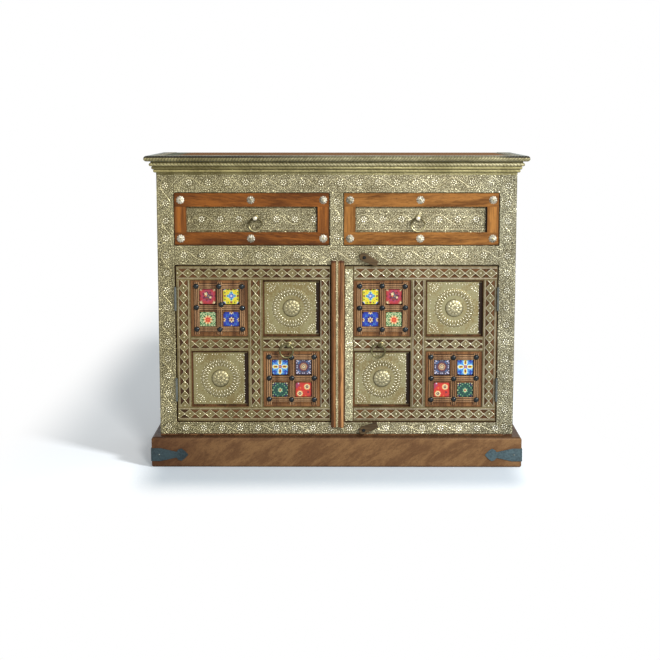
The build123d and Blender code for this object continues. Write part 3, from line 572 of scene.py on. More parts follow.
def build_chasing():
    tree = chasing
    place = chasing_in["Vector"]
    bent = vector_calc(tree, "ADD", place, swirl(tree, place, swirl_scale, 1.0, swirl_reach))
    long_strokes = stretched(tree, bent, stroke_shape, (0.0, stroke_turn, 0.0))
    cells = put(tree, "ShaderNodeTexVoronoi",
                {"Vector": long_strokes, "Scale": chasing_in["Strokes per metre"], "Randomness": 0.8},
                feature="DISTANCE_TO_EDGE").outputs["Distance"]
    tree.links.new(ramp(tree, cells, 0.02, 0.30), chasing_out["Raised"])
    tree.links.new(ramp(tree, cells, 0.16, 0.03), chasing_out["Gap"])


build_chasing()
print("chasing group has", len(chasing.nodes), "nodes")

# %% [markdown]
# ## Brass finishes
# The same brass ages in its own way on every piece: raised work is rubbed bright and hollows stay dark.
# Painted light and shade leave it darker and yellower at the left, brighter in the middle and greyer at the
# right.


# %% Brass finishes
def brass_finish(name, bright, dull, age=0.6, strokes=0.0, deep=None, bump=0.3, metal=0.85, rough=0.0):
    """Brass with patina and, if strokes is set, punched strokes with gaps of the colour deep."""
    bright, dull = srgb(*bright), srgb(*dull)
    material, tree, shader = new_finish(name, {"Metallic": metal})
    place = object_place(tree)
    skin = aged(tree, place, bright, dull, age)
    if not strokes:
        dress(tree, shader, skin, bump, 0.0003)
        tree.links.new(calc(tree, "ADD", skin["Roughness"], rough), shader.inputs["Roughness"])
        return material
    work = put(tree, "ShaderNodeGroup", {"Vector": place, "Strokes per metre": strokes},
               node_tree=chasing).outputs
    gaps = calc(tree, "MULTIPLY", work["Gap"], 0.85)
    tree.links.new(paint(tree, gaps, skin["Colour"], deep), shader.inputs["Base Color"])
    tree.links.new(calc(tree, "ADD", skin["Roughness"], calc(tree, "MULTIPLY", work["Gap"], 0.2)),
                   shader.inputs["Roughness"])
    roughen(tree, shader, work["Raised"], 0.8, 0.0012)
    return material


embossed_brass = brass_finish("embossed_brass", (156, 149, 118), (114, 105, 77), 0.8, 250.0, srgb(72, 64, 42))
stroke_brass = brass_finish("stroke_brass", (198, 191, 163), (156, 148, 117), 0.6, bump=0.1)
raised_brass = brass_finish("raised_brass", (210, 201, 166), (160, 150, 114), 0.6, bump=0.2)
boss_petal_brass = brass_finish("boss_petal_brass", (150, 142, 109), (108, 100, 71), 0.6, bump=0.2,
                                rough=0.08)
rosette_brass = brass_finish("rosette_brass", (222, 215, 191), (182, 175, 148), 0.5, bump=0.1)
petal_brass = brass_finish("petal_brass", (238, 233, 214), (200, 193, 168), 0.4, bump=0.1)
boss_brass = brass_finish("boss_brass", (143, 136, 98), (114, 99, 62), 0.9, bump=0.7)
dome_brass = brass_finish("dome_brass", (128, 119, 84), (92, 84, 55), 0.7)
dark_brass = brass_finish("dark_brass", (130, 121, 85), (92, 83, 54), 0.6)
strip_brass = brass_finish("strip_brass", (220, 208, 166), (160, 147, 106), 0.6, 420.0, srgb(104, 94, 60))
fret_brass = brass_finish("fret_brass", (128, 117, 80), (88, 78, 48), 0.8)
fillet_brass = brass_finish("fillet_brass", (178, 166, 138), (128, 116, 88), 0.7, bump=0.4)
cornice_brass = brass_finish("cornice_brass", (142, 134, 96), (106, 98, 64), 0.8, metal=0.6, rough=0.25)
cast_brass = brass_finish("cast_brass", (148, 138, 102), (88, 79, 52), 0.6)
pull_brass = brass_finish("pull_brass", (180, 172, 132), (100, 92, 61), 0.8, rough=-0.05)
door_pull_brass = brass_finish("door_pull_brass", (116, 110, 76), (70, 65, 42), 0.8)
meeting_brass = brass_finish("meeting_brass", (212, 206, 170), (168, 161, 126), 0.6, 260.0, srgb(92, 86, 58))
edge_brass = brass_finish("edge_brass", (132, 138, 130), (92, 98, 92), 0.6, rough=0.2)
head_brass = brass_finish("head_brass", (224, 217, 194), (150, 142, 112), 0.5)
silvered = brass_finish("silvered_studs", (192, 186, 168), (108, 102, 86), 1.0, rough=0.1)


# Where each tint is full and where it is gone
left_fade, middle_fade, right_fade = (-420.0, 60.0), (150.0, -250.0), (510.0, 330.0)


def paint_light_along_front(metal, left, middle, right):
    """Painted light and shade in three tints along the front. The middle runs on to the right, under the
    last.
    """
    for (full, gone), tint in ((left_fade, left), (middle_fade, middle), (right_fade, right)):
        toned(metal, 0, full, gone, tint)


for metal in (embossed_brass, stroke_brass, raised_brass):
    paint_light_along_front(metal, (0.88, 0.87, 0.79), (1.10, 1.10, 1.12), (0.83, 0.86, 0.92))
for metal in (rosette_brass, petal_brass):
    paint_light_along_front(metal, (0.98, 0.98, 0.95), (1.08, 1.08, 1.10), (0.83, 0.86, 0.92))
paint_light_along_front(cornice_brass, (1.22, 1.18, 0.98), (1.26, 1.26, 1.20), (1.0, 1.0, 1.0))
for metal in (fret_brass, fillet_brass):
    paint_light_along_front(metal, (1.0, 0.98, 0.96), (1.0, 1.0, 1.16), (1.0, 1.0, 1.0))
for metal in (boss_brass, boss_petal_brass, dome_brass):
    paint_light_along_front(metal, (1.0, 1.0, 1.0), (1.14, 1.17, 1.30), (1.0, 1.0, 1.0))
print("twenty brass finishes, cooler towards the right")

# %% [markdown]
# ## Lines along the cornice
# The cornice is a stack of fine steps under one sheet. They are too fine to be worth a shape, so
# they are painted as dark lines of shade at a fixed distance, one above the other.

# %% Lines along the cornice
cornice_line = 4.6
line_share = 0.18


def lined(material, start, pitch, tint):
    """Painted shade: fine dark lines along a moulding, one every pitch from the height start, both in mm."""
    tree = material.node_tree
    socket = tree.nodes["Principled BSDF"].inputs["Base Color"]
    height = split(tree, object_place(tree))[2]
    beat = calc(tree, "PINGPONG", calc(tree, "SUBTRACT", height, start * MM), pitch / 2 * MM)
    mask = ramp(tree, beat, 0.0, line_share * pitch * MM, 1.0, 0.0)
    tree.links.new(paint(tree, mask, socket.links[0].from_socket, (*tint, 1.0), "MULTIPLY"), socket)


lined(cornice_brass, box_mm("front_cornice")[0][2], cornice_line, (0.55, 0.54, 0.45))
print("a line every", cornice_line, "mm")

# %% [markdown]
# ## Iron and steel
# The straps and studs are blackened iron with a trace of blue, and the hinges plain steel. Both take the
# patina group with other colours, since rust and scale come in patches as tarnish does.

# %% Iron and steel
strap_iron = brass_finish("strap_iron", (78, 96, 100), (46, 58, 62), 0.8, metal=0.6)
stud_iron = brass_finish("stud_iron", (40, 45, 47), (17, 20, 21), 0.6, metal=0.7, rough=-0.14)
hinge_steel = brass_finish("hinge_steel", (106, 111, 107), (64, 68, 64), 0.6)
# Painted shade: the strap at the left is darker than the one at the right.
toned(strap_iron, 0, -300.0, 300.0, (0.52, 0.54, 0.55))
print("iron and steel")

# %% [markdown]
# ## Finish the frame
# Each piece of the frame names the finish it takes. The name leads to one of the materials above.

# %% Finishes on the frame's own pieces
finishes = {"plinth_wood": plinth_wood, "case_wood": case_wood, "top_wood": top_wood,
            "cornice_brass": cornice_brass, "embossed_brass": embossed_brass, "fret_brass": fret_brass,
            "door_wood": door_wood, "frame_wood": frame_wood, "red_wood": astragal_wood,
            "drawer_wood": drawer_wood, "iron": strap_iron, "steel": hinge_steel, "cast_brass": cast_brass,
            "tile_glaze": silvered}
own_finishes = {"shelf": shelf_wood, "floor_board": shelf_wood, "astragal_strip": strip_brass,
                "button_screws": stud_iron}
for side in ("left", "right"):
    own_finishes[f"{side}_door_stiles"] = door_stile_wood
    own_finishes[f"{side}_door_panels"] = door_stile_wood
    own_finishes[f"{side}_door_boss_sheets"] = boss_brass
    own_finishes[f"{side}_drawer_frame"] = drawer_woods[f"{side}_drawer"]
for name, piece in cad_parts.items():
    for place in piece.material_slots:
        wanted = place.material.name.split(".")[0]
        place.material = own_finishes.get(name, finishes[wanted])
print("finished", len(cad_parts), "pieces of the frame")

# %% [markdown]
# ## Shapes from lists
# The ornament is made of very simple shapes: low domes, slabs, and mouldings with mitred corners. A shape
# here is a list of points and a list of faces. All ornament faces the front, towards minus Y, and is sunk a
# little at its back, so that no gap shows.

# %% Domes, slabs, and lists into objects
sunk = 0.3


def fan_and_rings(rings, sides):
    """Faces of a disc: a fan round the first point, then quads from ring to ring."""
    faces = [(0, 1 + k, 1 + (k + 1) % sides) for k in range(sides)]
    for ring in range(rings - 1):
        inner, outer = 1 + ring * sides, 1 + (ring + 1) * sides
        for k in range(sides):
            n = (k + 1) % sides
            faces.append((inner + k, outer + k, outer + n, inner + n))
    return faces


def cap(x, z, half_long, half_wide, height, turn=0.0, lift=0.0, sides=6, rings=2):
    """A low dome: half_long along its turned axis, and height proud of a surface that is lift proud."""
    points = [(x, -lift - height, z)]
    for ring in range(1, rings + 1):
        slope = pi / 2 * ring / rings
        for k in range(sides):
            a = 2 * pi * k / sides
            u = half_long * sin(slope) * cos(a)
            v = half_wide * sin(slope) * sin(a)
            y = -lift - height * cos(slope) if ring < rings else sunk - lift
            points.append((x + u * cos(turn) - v * sin(turn), y, z + u * sin(turn) + v * cos(turn)))
    return points, fan_and_rings(rings, sides)


def slab(outline, front, back):
    """A flat outline of (x, z) points, anticlockwise from the front, made as thick as from front to back."""
    points = [(x, y, z) for y in (front, back) for x, z in outline]
    count = len(outline)
    faces = [tuple(range(count)), tuple(range(2 * count - 1, count - 1, -1))]
    faces += [(k, count + k, count + (k + 1) % count, (k + 1) % count) for k in range(count)]
    return points, faces


def lath_shape(x, z, half_wide, half_high, front, back):
    """A plain lath or plate, from its middle and its half sizes."""
    return slab([(x - half_wide, z - half_high), (x + half_wide, z - half_high),
                 (x + half_wide, z + half_high), (x - half_wide, z + half_high)], front, back)


def joined(shapes):
    """Several shapes as one."""
    points, faces = [], []
    for some_points, some_faces in shapes:
        start = len(points)
        points.extend(some_points)
        faces.extend(tuple(start + i for i in face) for face in some_faces)
    return points, faces


def as_object(name, shape, smooth=True, edges=()):
    """An object in metres from a shape in millimetres."""
    points, faces = shape
    mesh = bpy.data.meshes.new(name)
    mesh.from_pydata([[value * MM for value in point] for point in points], list(edges), faces)
    if faces:
        mesh.polygons.foreach_set("use_smooth", [smooth] * len(faces))
    item = bpy.data.objects.new(name, mesh)
    bpy.context.scene.collection.objects.link(item)
    return item


def flat_object(name, shape, finish):
    """An object with flat faces and one finish."""
    item = as_object(name, shape, smooth=False)
    item.data.materials.append(finish)
    return item


print("a petal has", len(cap(0, 0, 3, 2, 1)[1]), "faces")

# %% [markdown]
# ## Three geometry trees
# Chased work repeats a few punches hundreds of times, so three small geometry trees do it all. `stamp` sets
# one motif on every point of a list, turned and sized by the point's own values. `ridge` draws a round wire
# along a path. Half sunk in a face it makes a vine, an outline, a fillet or a reed, and free it makes a ring
# pull. `rope` winds strands round a roll. Each ends by realizing its instances and setting the finish, and
# its result is kept as a plain mesh.

# %% A tree with named inputs, and its result as a plain mesh
def geometry_tree(name, inputs):
    """An empty geometry tree with named inputs, and the sockets of its two ends."""
    tree = bpy.data.node_groups.new(name, "GeometryNodeTree")
    tree.interface.new_socket(name="Geometry", in_out="INPUT", socket_type="NodeSocketGeometry")
    for title, kind, start in inputs:
        socket = tree.interface.new_socket(name=title, in_out="INPUT", socket_type=kind)
        if start is not None:
            socket.default_value = start
    tree.interface.new_socket(name="Geometry", in_out="OUTPUT", socket_type="NodeSocketGeometry")
    return tree, tree.nodes.new("NodeGroupInput").outputs, tree.nodes.new("NodeGroupOutput").inputs


def end_tree(tree, geometry, finish, out):
    """Realize, give the finish and hand out."""
    real = put(tree, "GeometryNodeRealizeInstances", {"Geometry": geometry}).outputs[0]
    done = put(tree, "GeometryNodeSetMaterial", {"Geometry": real, "Material": finish}).outputs[0]
    tree.links.new(done, out["Geometry"])


def keep_result(carrier, tree, settings):
    """Run the tree on the carrier once and keep what it makes as the carrier's plain mesh."""
    modifier = carrier.modifiers.new(tree.name, "NODES")
    modifier.node_group = tree
    for item in tree.interface.items_tree:
        if item.item_type == "SOCKET" and item.in_out == "INPUT" and item.name in settings:
            modifier[item.identifier] = settings[item.name]
    bpy.context.view_layer.update()
    graph = bpy.context.evaluated_depsgraph_get()
    mesh = bpy.data.meshes.new_from_object(carrier.evaluated_get(graph), depsgraph=graph)
    carrier.modifiers.clear()
    carrier.data = mesh
    mesh.name = carrier.name
    return carrier


def settle(piece, body, slot, *stands_for):
    """Tie a finished piece to the body that carries it."""
    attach(piece, body)
    if stands_for:
        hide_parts(*stands_for)
    print(piece.name, len(piece.data.polygons), "faces")
    return piece


# %% The stamp tree
stamp_tree, stamp_in, stamp_out = geometry_tree(
    "stamp", [("Motif", "NodeSocketObject", None), ("Wobble", VALUE, 0.0), ("Seed", "NodeSocketInt", 7),
              ("Finish", "NodeSocketMaterial", None)])


def build_stamp():
    tree = stamp_tree
    turn = put(tree, "GeometryNodeInputNamedAttribute", {"Name": "turn"}, data_type="FLOAT").outputs[0]
    size = put(tree, "GeometryNodeInputNamedAttribute", {"Name": "size"}, data_type="FLOAT").outputs[0]
    less = calc(tree, "MULTIPLY", stamp_in["Wobble"], -1.0)
    stray = put(tree, "FunctionNodeRandomValue", {2: less, 3: stamp_in["Wobble"], "Seed": stamp_in["Seed"]},
                data_type="FLOAT").outputs[1]
    about_y = calc(tree, "MULTIPLY", calc(tree, "ADD", turn, stray), -1.0)
    angles = put(tree, "ShaderNodeCombineXYZ", {1: about_y}).outputs[0]
    motif = put(tree, "GeometryNodeObjectInfo", {"Object": stamp_in["Motif"]}).outputs["Geometry"]
    spots = put(tree, "GeometryNodeInstanceOnPoints",
                {"Points": stamp_in["Geometry"], "Instance": motif, "Rotation": angles,
                 "Scale": size}).outputs[0]
    end_tree(tree, spots, stamp_in["Finish"], stamp_out)


def stamp(name, motif_shape, spots, finish, wobble=0.0, seed=7):
    """One motif on every spot. A spot is x, y, z, turn (anticlockwise from the front) and size."""
    motif = as_object(f"{name}_motif", motif_shape)
    carrier = as_object(name, ([spot[:3] for spot in spots], []))
    for title, column in (("turn", 3), ("size", 4)):
        values = carrier.data.attributes.new(title, "FLOAT", "POINT")
        values.data.foreach_set("value", [spot[column] for spot in spots])
    keep_result(carrier, stamp_tree, {"Motif": motif, "Wobble": wobble, "Seed": seed, "Finish": finish})
    bpy.data.objects.remove(motif)
    return carrier


build_stamp()

# %% The ridge tree
ridge_tree, ridge_in, ridge_out = geometry_tree(
    "ridge", [("Radius", VALUE, 0.001), ("Sides", "NodeSocketInt", 6),
              ("Finish", "NodeSocketMaterial", None)])


def build_ridge():
    tree = ridge_tree
    path = put(tree, "GeometryNodeMeshToCurve", {"Mesh": ridge_in["Geometry"]}).outputs[0]
    wire = put(tree, "GeometryNodeCurvePrimitiveCircle",
               {"Resolution": ridge_in["Sides"], "Radius": ridge_in["Radius"]}).outputs[0]
    tube = put(tree, "GeometryNodeCurveToMesh",
               {"Curve": path, "Profile Curve": wire, "Fill Caps": True}).outputs[0]
    smooth = put(tree, "GeometryNodeSetShadeSmooth", {"Geometry": tube}).outputs[0]
    end_tree(tree, smooth, ridge_in["Finish"], ridge_out)


def ridges(name, paths, radius, finish, sides=6):
    """A round wire along each path. A path that ends where it starts is closed."""
    points, edges = [], []
    for path in paths:
        closed = path[0] == path[-1]
        run = path[:-1] if closed else path
        start = len(points)
        points.extend(run)
        edges.extend((start + k, start + k + 1) for k in range(len(run) - 1))
        if closed:
            edges.append((start + len(run) - 1, start))
    carrier = as_object(name, (points, []), edges=edges)
    return keep_result(carrier, ridge_tree, {"Radius": radius * MM, "Sides": sides, "Finish": finish})


build_ridge()

# %% The rope tree
rope_tree, rope_in, rope_out = geometry_tree(
    "rope", [("Length", VALUE, 1.0), ("Radius", VALUE, 0.008), ("Pitch", VALUE, 0.014),
             ("Groove", VALUE, 0.0015), ("Lay", VALUE, 1.0), ("Wrap", VALUE, pi),
             ("Steps", "NodeSocketInt", 400), ("Finish", "NodeSocketMaterial", None)])
points_round_roll = 13
strand_fullness = 0.55


def build_rope():
    """A sheet bent round the roll. Its radius dips where two strands meet."""
    tree = rope_tree
    sheet = put(tree, "GeometryNodeMeshGrid", {"Size X": rope_in["Length"], "Size Y": rope_in["Wrap"],
                 "Vertices X": rope_in["Steps"], "Vertices Y": points_round_roll}).outputs[0]
    place = split(tree, put(tree, "GeometryNodeInputPosition").outputs[0])
    along = calc(tree, "DIVIDE", place[0], rope_in["Pitch"])
    round_it = calc(tree, "MULTIPLY", calc(tree, "DIVIDE", place[1], pi), rope_in["Lay"])
    phase = calc(tree, "MULTIPLY", calc(tree, "ADD", along, round_it), pi)
    crest = calc(tree, "POWER", calc(tree, "ABSOLUTE", calc(tree, "SINE", phase)), strand_fullness)
    dip = calc(tree, "MULTIPLY", calc(tree, "SUBTRACT", 1.0, crest), rope_in["Groove"])
    radius = calc(tree, "SUBTRACT", rope_in["Radius"], dip)
    out = calc(tree, "MULTIPLY", calc(tree, "MULTIPLY", radius, calc(tree, "COSINE", place[1])), -1.0)
    up = calc(tree, "MULTIPLY", radius, calc(tree, "SINE", place[1]))
    bent = put(tree, "ShaderNodeCombineXYZ", {0: place[0], 1: out, 2: up}).outputs[0]
    marked = put(tree, "GeometryNodeStoreNamedAttribute",
                 {"Geometry": sheet, "Name": "crest", "Value": crest},
                 data_type="FLOAT", domain="POINT").outputs[0]
    moved = put(tree, "GeometryNodeSetPosition", {"Geometry": marked, "Position": bent}).outputs[0]
    smooth = put(tree, "GeometryNodeSetShadeSmooth", {"Geometry": moved}).outputs[0]
    end_tree(tree, smooth, rope_in["Finish"], rope_out)


build_rope()
print("trees:", stamp_tree.name, ridge_tree.name, rope_tree.name)

# %% [markdown]
# ## Rope mouldings
# A rope runs round the top's edge, and a thinner one under it with the opposite lay. On the real cabinet
# each is one strip of brass pressed over a half-round. The rope comes from the tree as a straight run and is
# then laid along each side. At the front corners every point goes on by as much as it stands out, which is
# what a mitre does.

# %% Rope along three sides
steps_per_strand = 8
groove_dirt, rope_shadow_colour = srgb(70, 64, 42), srgb(38, 34, 26)
rope_age, rope_shadow_depth = 0.7, 1.5
# In metres across the front: the painted shadow thins out from the left and comes back at the right
rope_shadow_thins, rope_shadow_returns = (-0.30, 0.05), (0.42, 0.50)


def rope_finish(name, bright, dull, dark_above):
    """Patina that darkens in the grooves, where the tree marked them, and a painted shadow above a height."""
    material, tree, shader = new_finish(name, {"Specular IOR Level": 0.15})
    skin = aged(tree, object_place(tree), bright, dull, rope_age)
    crest = put(tree, "ShaderNodeAttribute", attribute_name="crest").outputs["Fac"]
    colour = paint(tree, ramp(tree, crest, 0.25, 0.80), groove_dirt, skin["Colour"])
    parts = split(tree, object_place(tree))
    ends = calc(tree, "MAXIMUM", ramp(tree, parts[0], *rope_shadow_thins, 1.0, 0.35),
                ramp(tree, parts[0], *rope_shadow_returns))
    above = ramp(tree, parts[2], (dark_above - rope_shadow_depth) * MM, dark_above * MM)
    painted_rope_shadow = calc(tree, "MULTIPLY", above, ends)
    colour = paint(tree, painted_rope_shadow, colour, rope_shadow_colour)
    tree.links.new(calc(tree, "MULTIPLY", calc(tree, "SUBTRACT", 1.0, painted_rope_shadow), 0.6), shader.inputs["Metallic"])
    tree.links.new(colour, shader.inputs["Base Color"])
    tree.links.new(calc(tree, "ADD", skin["Roughness"], 0.28), shader.inputs["Roughness"])
    paint_light_along_front(material, (0.94, 0.92, 0.80), (1.10, 1.10, 1.10), (1.0, 1.0, 1.0))
    return material


def rope_round(name, half_width, front, back, height, radius, pitch, groove, lay, wrap, finish):
    """A rope whose centre line runs along both sides and the front."""
    shapes, crests = [], []
    for side in (0, -1, 1):
        length = 2 * half_width if side == 0 else back - front
        steps = int(length / pitch * steps_per_strand)
        run = as_object("run", ([(0.0, 0.0, 0.0)], []))
        keep_result(run, rope_tree, {"Length": length * MM, "Radius": radius * MM, "Pitch": pitch * MM,
                                     "Groove": groove * MM, "Lay": lay, "Wrap": wrap, "Steps": steps,
                                     "Finish": finish})
        points = []
        for point in run.data.vertices:
            along, out, up = point.co.x / MM, -point.co.y / MM, point.co.z / MM
            if side == 0:
                points.append((along * (half_width + out) / half_width, front - out, height + up))
            else:
                reach = (back - front + out) / (back - front)
                points.append((side * (half_width + out), back - (length / 2 - along) * reach, height + up))
        shapes.append((points, [tuple(face.vertices) for face in run.data.polygons]))
        crests.extend(mark.value for mark in run.data.attributes["crest"].data)
        bpy.data.objects.remove(run)
    rope = as_object(name, joined(shapes))
    rope.data.attributes.new("crest", "FLOAT", "POINT").data.foreach_set("value", crests)
    rope.data.materials.append(finish)
    return rope


sheet_thickness = 1.0
clad_face = box_mm("front_stiles")[0][1] - sheet_thickness
stile_width = 47.5
opening_half = 469.5
case_half = opening_half + stile_width
roll_low, roll_high = box_mm("top_nosing")
roll_radius = (roll_high[2] - roll_low[2]) / 2
roll_height = roll_low[2] + roll_radius
strand_pitch, strand_groove = 8.6, 1.2
rope_lay, rope_wrap = -2.0, radians(188)
rope_shadow_from = roll_high[2] - 4.8
top_run = (roll_high[0] - roll_radius, roll_low[1] + roll_radius, roll_high[1])
rope_brass = rope_finish("rope_brass", srgb(146, 139, 108), srgb(100, 92, 64), rope_shadow_from)
top_rope = rope_round("top_rope", *top_run, roll_height, roll_radius, strand_pitch, strand_groove, rope_lay,
                      rope_wrap, rope_brass)

bead_low, bead_high = box_mm("front_cornice")
bead_radius = 4.25
bead_proud = 0.8
bead_drop = 8.75
bead_pitch, bead_groove = 10.0, 1.0
bead_lay, bead_wrap = 1.0, radians(170)
bead_brass = rope_finish("bead_brass", srgb(168, 160, 126), srgb(120, 112, 80), roll_high[2])
bead_rope = rope_round("bead_rope", bead_high[0] - bead_radius, bead_low[1] + bead_radius, roll_high[1],
                       bead_high[2] - bead_drop, bead_radius + bead_proud, bead_pitch, bead_groove,
                       bead_lay, bead_wrap, bead_brass)
settle(bead_rope, "case", "cornice_brass")

# %% [markdown]
# ## Core of the rope
# The roll of the frame is smooth, so the rope takes its place and needs a core of its own: a plain strip
# that joins the rope to the board, mitred in the same way.


# %% Core behind the rope
def moulding(name, section, half_width, front, back, finish):
    """A section of (out, height) points, swept round three sides with mitred corners and closed ends."""
    corners = ((-1, 0), (-1, 1), (1, 1), (1, 0))
    points = []
    for side, at_front in corners:
        for out, height in section:
            points.append((side * (half_width + out), front - out if at_front else back, height))
    count = len(section)
    faces = []
    for leg in range(3):
        for k in range(count):
            n = (k + 1) % count
            a, b = leg * count, (leg + 1) * count
            faces.append((a + k, b + k, b + n, a + n))
    faces.append(tuple(range(count - 1, -1, -1)))
    faces.append(tuple(3 * count + k for k in range(count)))
    return flat_object(name, (points, faces), finish)


core_depth = 15.0
core_out, core_shoulder = roll_radius * 0.74, roll_radius * 0.66
shoulder_drop = 3.0
core_section = [(-core_depth, roll_low[2]), (0.0, roll_low[2]), (core_shoulder, roll_low[2] + shoulder_drop),
                (core_out, roll_height), (core_shoulder, roll_high[2] - shoulder_drop),
                (0.0, roll_high[2]), (-core_depth, roll_high[2])]
top_core = moulding("top_rope_core", core_section, *top_run, edge_brass)
settle(top_rope, "case", "cornice_brass", "top_nosing")
settle(top_core, "case", "cornice_brass", "top_nosing")

# %% [markdown]
# ## Half-rounds
# Half-rounds fill the hollows above and below the bead, and two fillets lie under the cornice. Each is a
# wire from the ridge tree, laid along the front and both sides.

# %% Half-rounds of the cornice
# Name, how far it stands out from the stiles, its height above the cornice's foot, and its radius
for name, out, up, radius in (("neck", 13.4, 29.6, 2.6), ("hollow", 9.8, 13.8, 5.0),
                              ("upper_fillet", 0.0, -1.8, 2.4), ("lower_fillet", 0.0, -5.4, 1.6)):
    half, front, height = case_half + out, clad_face - out, bead_low[2] + up
    run = [(-half, roll_high[1], height), (-half, front, height), (half, front, height),
           (half, roll_high[1], height)]
    settle(ridges(f"cornice_{name}", [run], radius, cornice_brass, 10), "case", "cornice_brass")

# %% [markdown]
# ## Chased rails, stiles and drawer plates
# Along every band of sheet runs the same old pattern: rosettes in a row, a vine that swings from side to
# side between them, a fringe of slanting strokes at both edges, and short strokes that fill all that is
# left. Near a rosette the strokes whirl round it, and elsewhere they lean away from the vine. One function
# lays it out along a band of any length and width, lying or upright. It only makes lists of spots and paths,
# which the stamp and ridge trees turn into metal.

# %% Lay out the pattern of one band
stroke_pitch = 4.6
cell_along, cell_across = 5.4, 4.8
fringe_width = 6.0
fringe_inset, fringe_lean = 3.6, 1.15
rosette_clear, rosette_half = 11.0, 8.5
whirl_reach, whirl_lean, stroke_lean = 18.0, 1.1, 0.9
vine_radius, vine_step, widest_swing = 0.75, 5.0, 14.0
band_end = 2.0
petal_count = 7


def rosette_shape():
    """Seven petals round a button."""
    petals = [cap(6.4 * cos(a), 6.4 * sin(a), 2.6, 1.9, 1.9, a, sides=8)
              for a in (2 * pi * k / petal_count for k in range(petal_count))]
    return joined(petals + [cap(0, 0, 1.8, 1.8, 1.4, sides=8)])


def band_pattern(x0, x1, z0, z1, y, pitch, first, upright_band=False, seed=1, margin=0.0, left_out=()):
    """Spots for rosettes and strokes, and the vine's path. The margin along both edges stays plain."""
    dice = random.Random(seed)
    length = z1 - z0 if upright_band else x1 - x0
    half = (x1 - x0 if upright_band else z1 - z0) / 2 - margin
    quarter = pi / 2 if upright_band else 0.0

    def at(u, v, turn=0.0, size=1.0):
        if upright_band:
            return ((x0 + x1) / 2 - v, y, z0 + u, turn + quarter, size)
        return (x0 + u, y, (z0 + z1) / 2 + v, turn, size)

    run = length - 2 * band_end
    swing = min(half - rosette_half, widest_swing)

    def vine(u):
        return swing * cos(pi * (u - first) / pitch)

    found = {"rosettes": [], "strokes": [], "vine": []}
    for k in range(int((length - first) / pitch) + 1):
        if k not in left_out:
            size = min(1.08, half / 24.0 + 0.35)
            found["rosettes"].append(at(first + k * pitch, 0.0, dice.uniform(0, 1), size))
    steps = int(length / vine_step)
    found["vine"].append([at(u, vine(u))[:3] for u in (band_end + n * run / steps for n in range(steps + 1))])
    if margin:
        found["vine"] += [[at(band_end, way * half)[:3], at(length - band_end, way * half)[:3]]
                          for way in (-1, 1)]
    strokes = int(run / stroke_pitch)
    for n in range(strokes):
        u = band_end + (n + 0.5) * run / strokes
        for way in (-1, 1):
            found["strokes"].append(at(u, way * (half - fringe_inset) + dice.uniform(-0.6, 0.6),
                                       way * fringe_lean + dice.uniform(-0.2, 0.2), dice.uniform(0.85, 1.1)))
    columns, rows = int(run / cell_along), int(2 * (half - fringe_width) / cell_across)
    for column in range(columns):
        for row in range(rows):
            u = band_end + (column + (0.7 if row % 2 else 0.3)) * run / columns + dice.uniform(-1.5, 1.5)
            v = ((row + 0.5) * 2 / rows - 1) * (half - fringe_width) + dice.uniform(-1.6, 1.6)
            nearest = (u - first + pitch / 2) % pitch - pitch / 2
            away = hypot(nearest, v)
            if away < rosette_clear or abs(v - vine(u)) < 2 * vine_radius:
                continue
            slope = atan2(vine(u + 1) - vine(u - 1), 2.0)
            if away < whirl_reach:
                turn = atan2(v, nearest) + whirl_lean
            else:
                turn = slope + (stroke_lean if v > vine(u) else -stroke_lean)
            found["strokes"].append(at(u, v, turn, dice.uniform(0.8, 1.15)))
    return found


def emboss(name, bands, body, rosette_finish):
    """Rosettes, strokes and vines of some bands, as pieces of one body."""
    slot = "embossed_brass"
    found = {key: [item for band in bands for item in band[key]] for key in bands[0]}
    settle(stamp(f"{name}_rosettes", rosette_shape(), found["rosettes"], rosette_finish, seed=3), body, slot)
    seed_shape = cap(0, 0, 2.6, 1.05, 1.2)
    settle(stamp(f"{name}_strokes", seed_shape, found["strokes"], stroke_brass, 0.3, 5), body, slot)
    settle(ridges(f"{name}_vines", found["vine"], vine_radius, raised_brass, 6), body, slot)


# %% Bands of the face frame
clad_foot, clad_head = sheets_low[2], 862.0
top_rail_low = box_mm("top_rail")[0][2]
middle_low, middle_high = 595.0, 651.5
bottom_head = 130.0
divider_half = 19.5
rail_pitch, foot_pitch, stile_pitch = 54.3, 53.6, 50.5
emboss("rail", [
    band_pattern(-opening_half, opening_half, top_rail_low, clad_head, clad_face, rail_pitch, 45.0, seed=1),
    band_pattern(-opening_half, opening_half, middle_low, middle_high, clad_face, rail_pitch, 26.5, seed=2)],
    "case", rosette_brass)
emboss("foot_rail", [
    band_pattern(-opening_half, opening_half, clad_foot, bottom_head, clad_face, foot_pitch, 25.0, seed=3)],
    "case", petal_brass)
uprights = [band_pattern(-divider_half, divider_half, middle_high, top_rail_low, clad_face, stile_pitch, 26.0,
                         True, 4)]
for side in (-1, 1):
    left, right = sorted((side * (opening_half + stile_width), side * opening_half))
    uprights.append(band_pattern(left, right, clad_foot, clad_head, clad_face, stile_pitch, 22.0, True,
                                 5 + side))
emboss("stile", uprights, "case", rosette_brass)

# %% [markdown]
# ## Drawer plates
# The plate of a drawer is one more band, with a plain margin and a line along it. The rosette behind the
# ring's post is left out. A dark lath at the right is painted shadow along the plate's edge.

# %% Drawer plates
drawers = ("left_drawer", "right_drawer")
plate_pitch, plate_margin = 54.2, 7.0
plate_first = {"left_drawer": 43.5, "right_drawer": 24.0}
behind_post = 3
drawer_shadow_width = 4.5
drawer_lath_rise = 2.2
lath_seat = 0.2


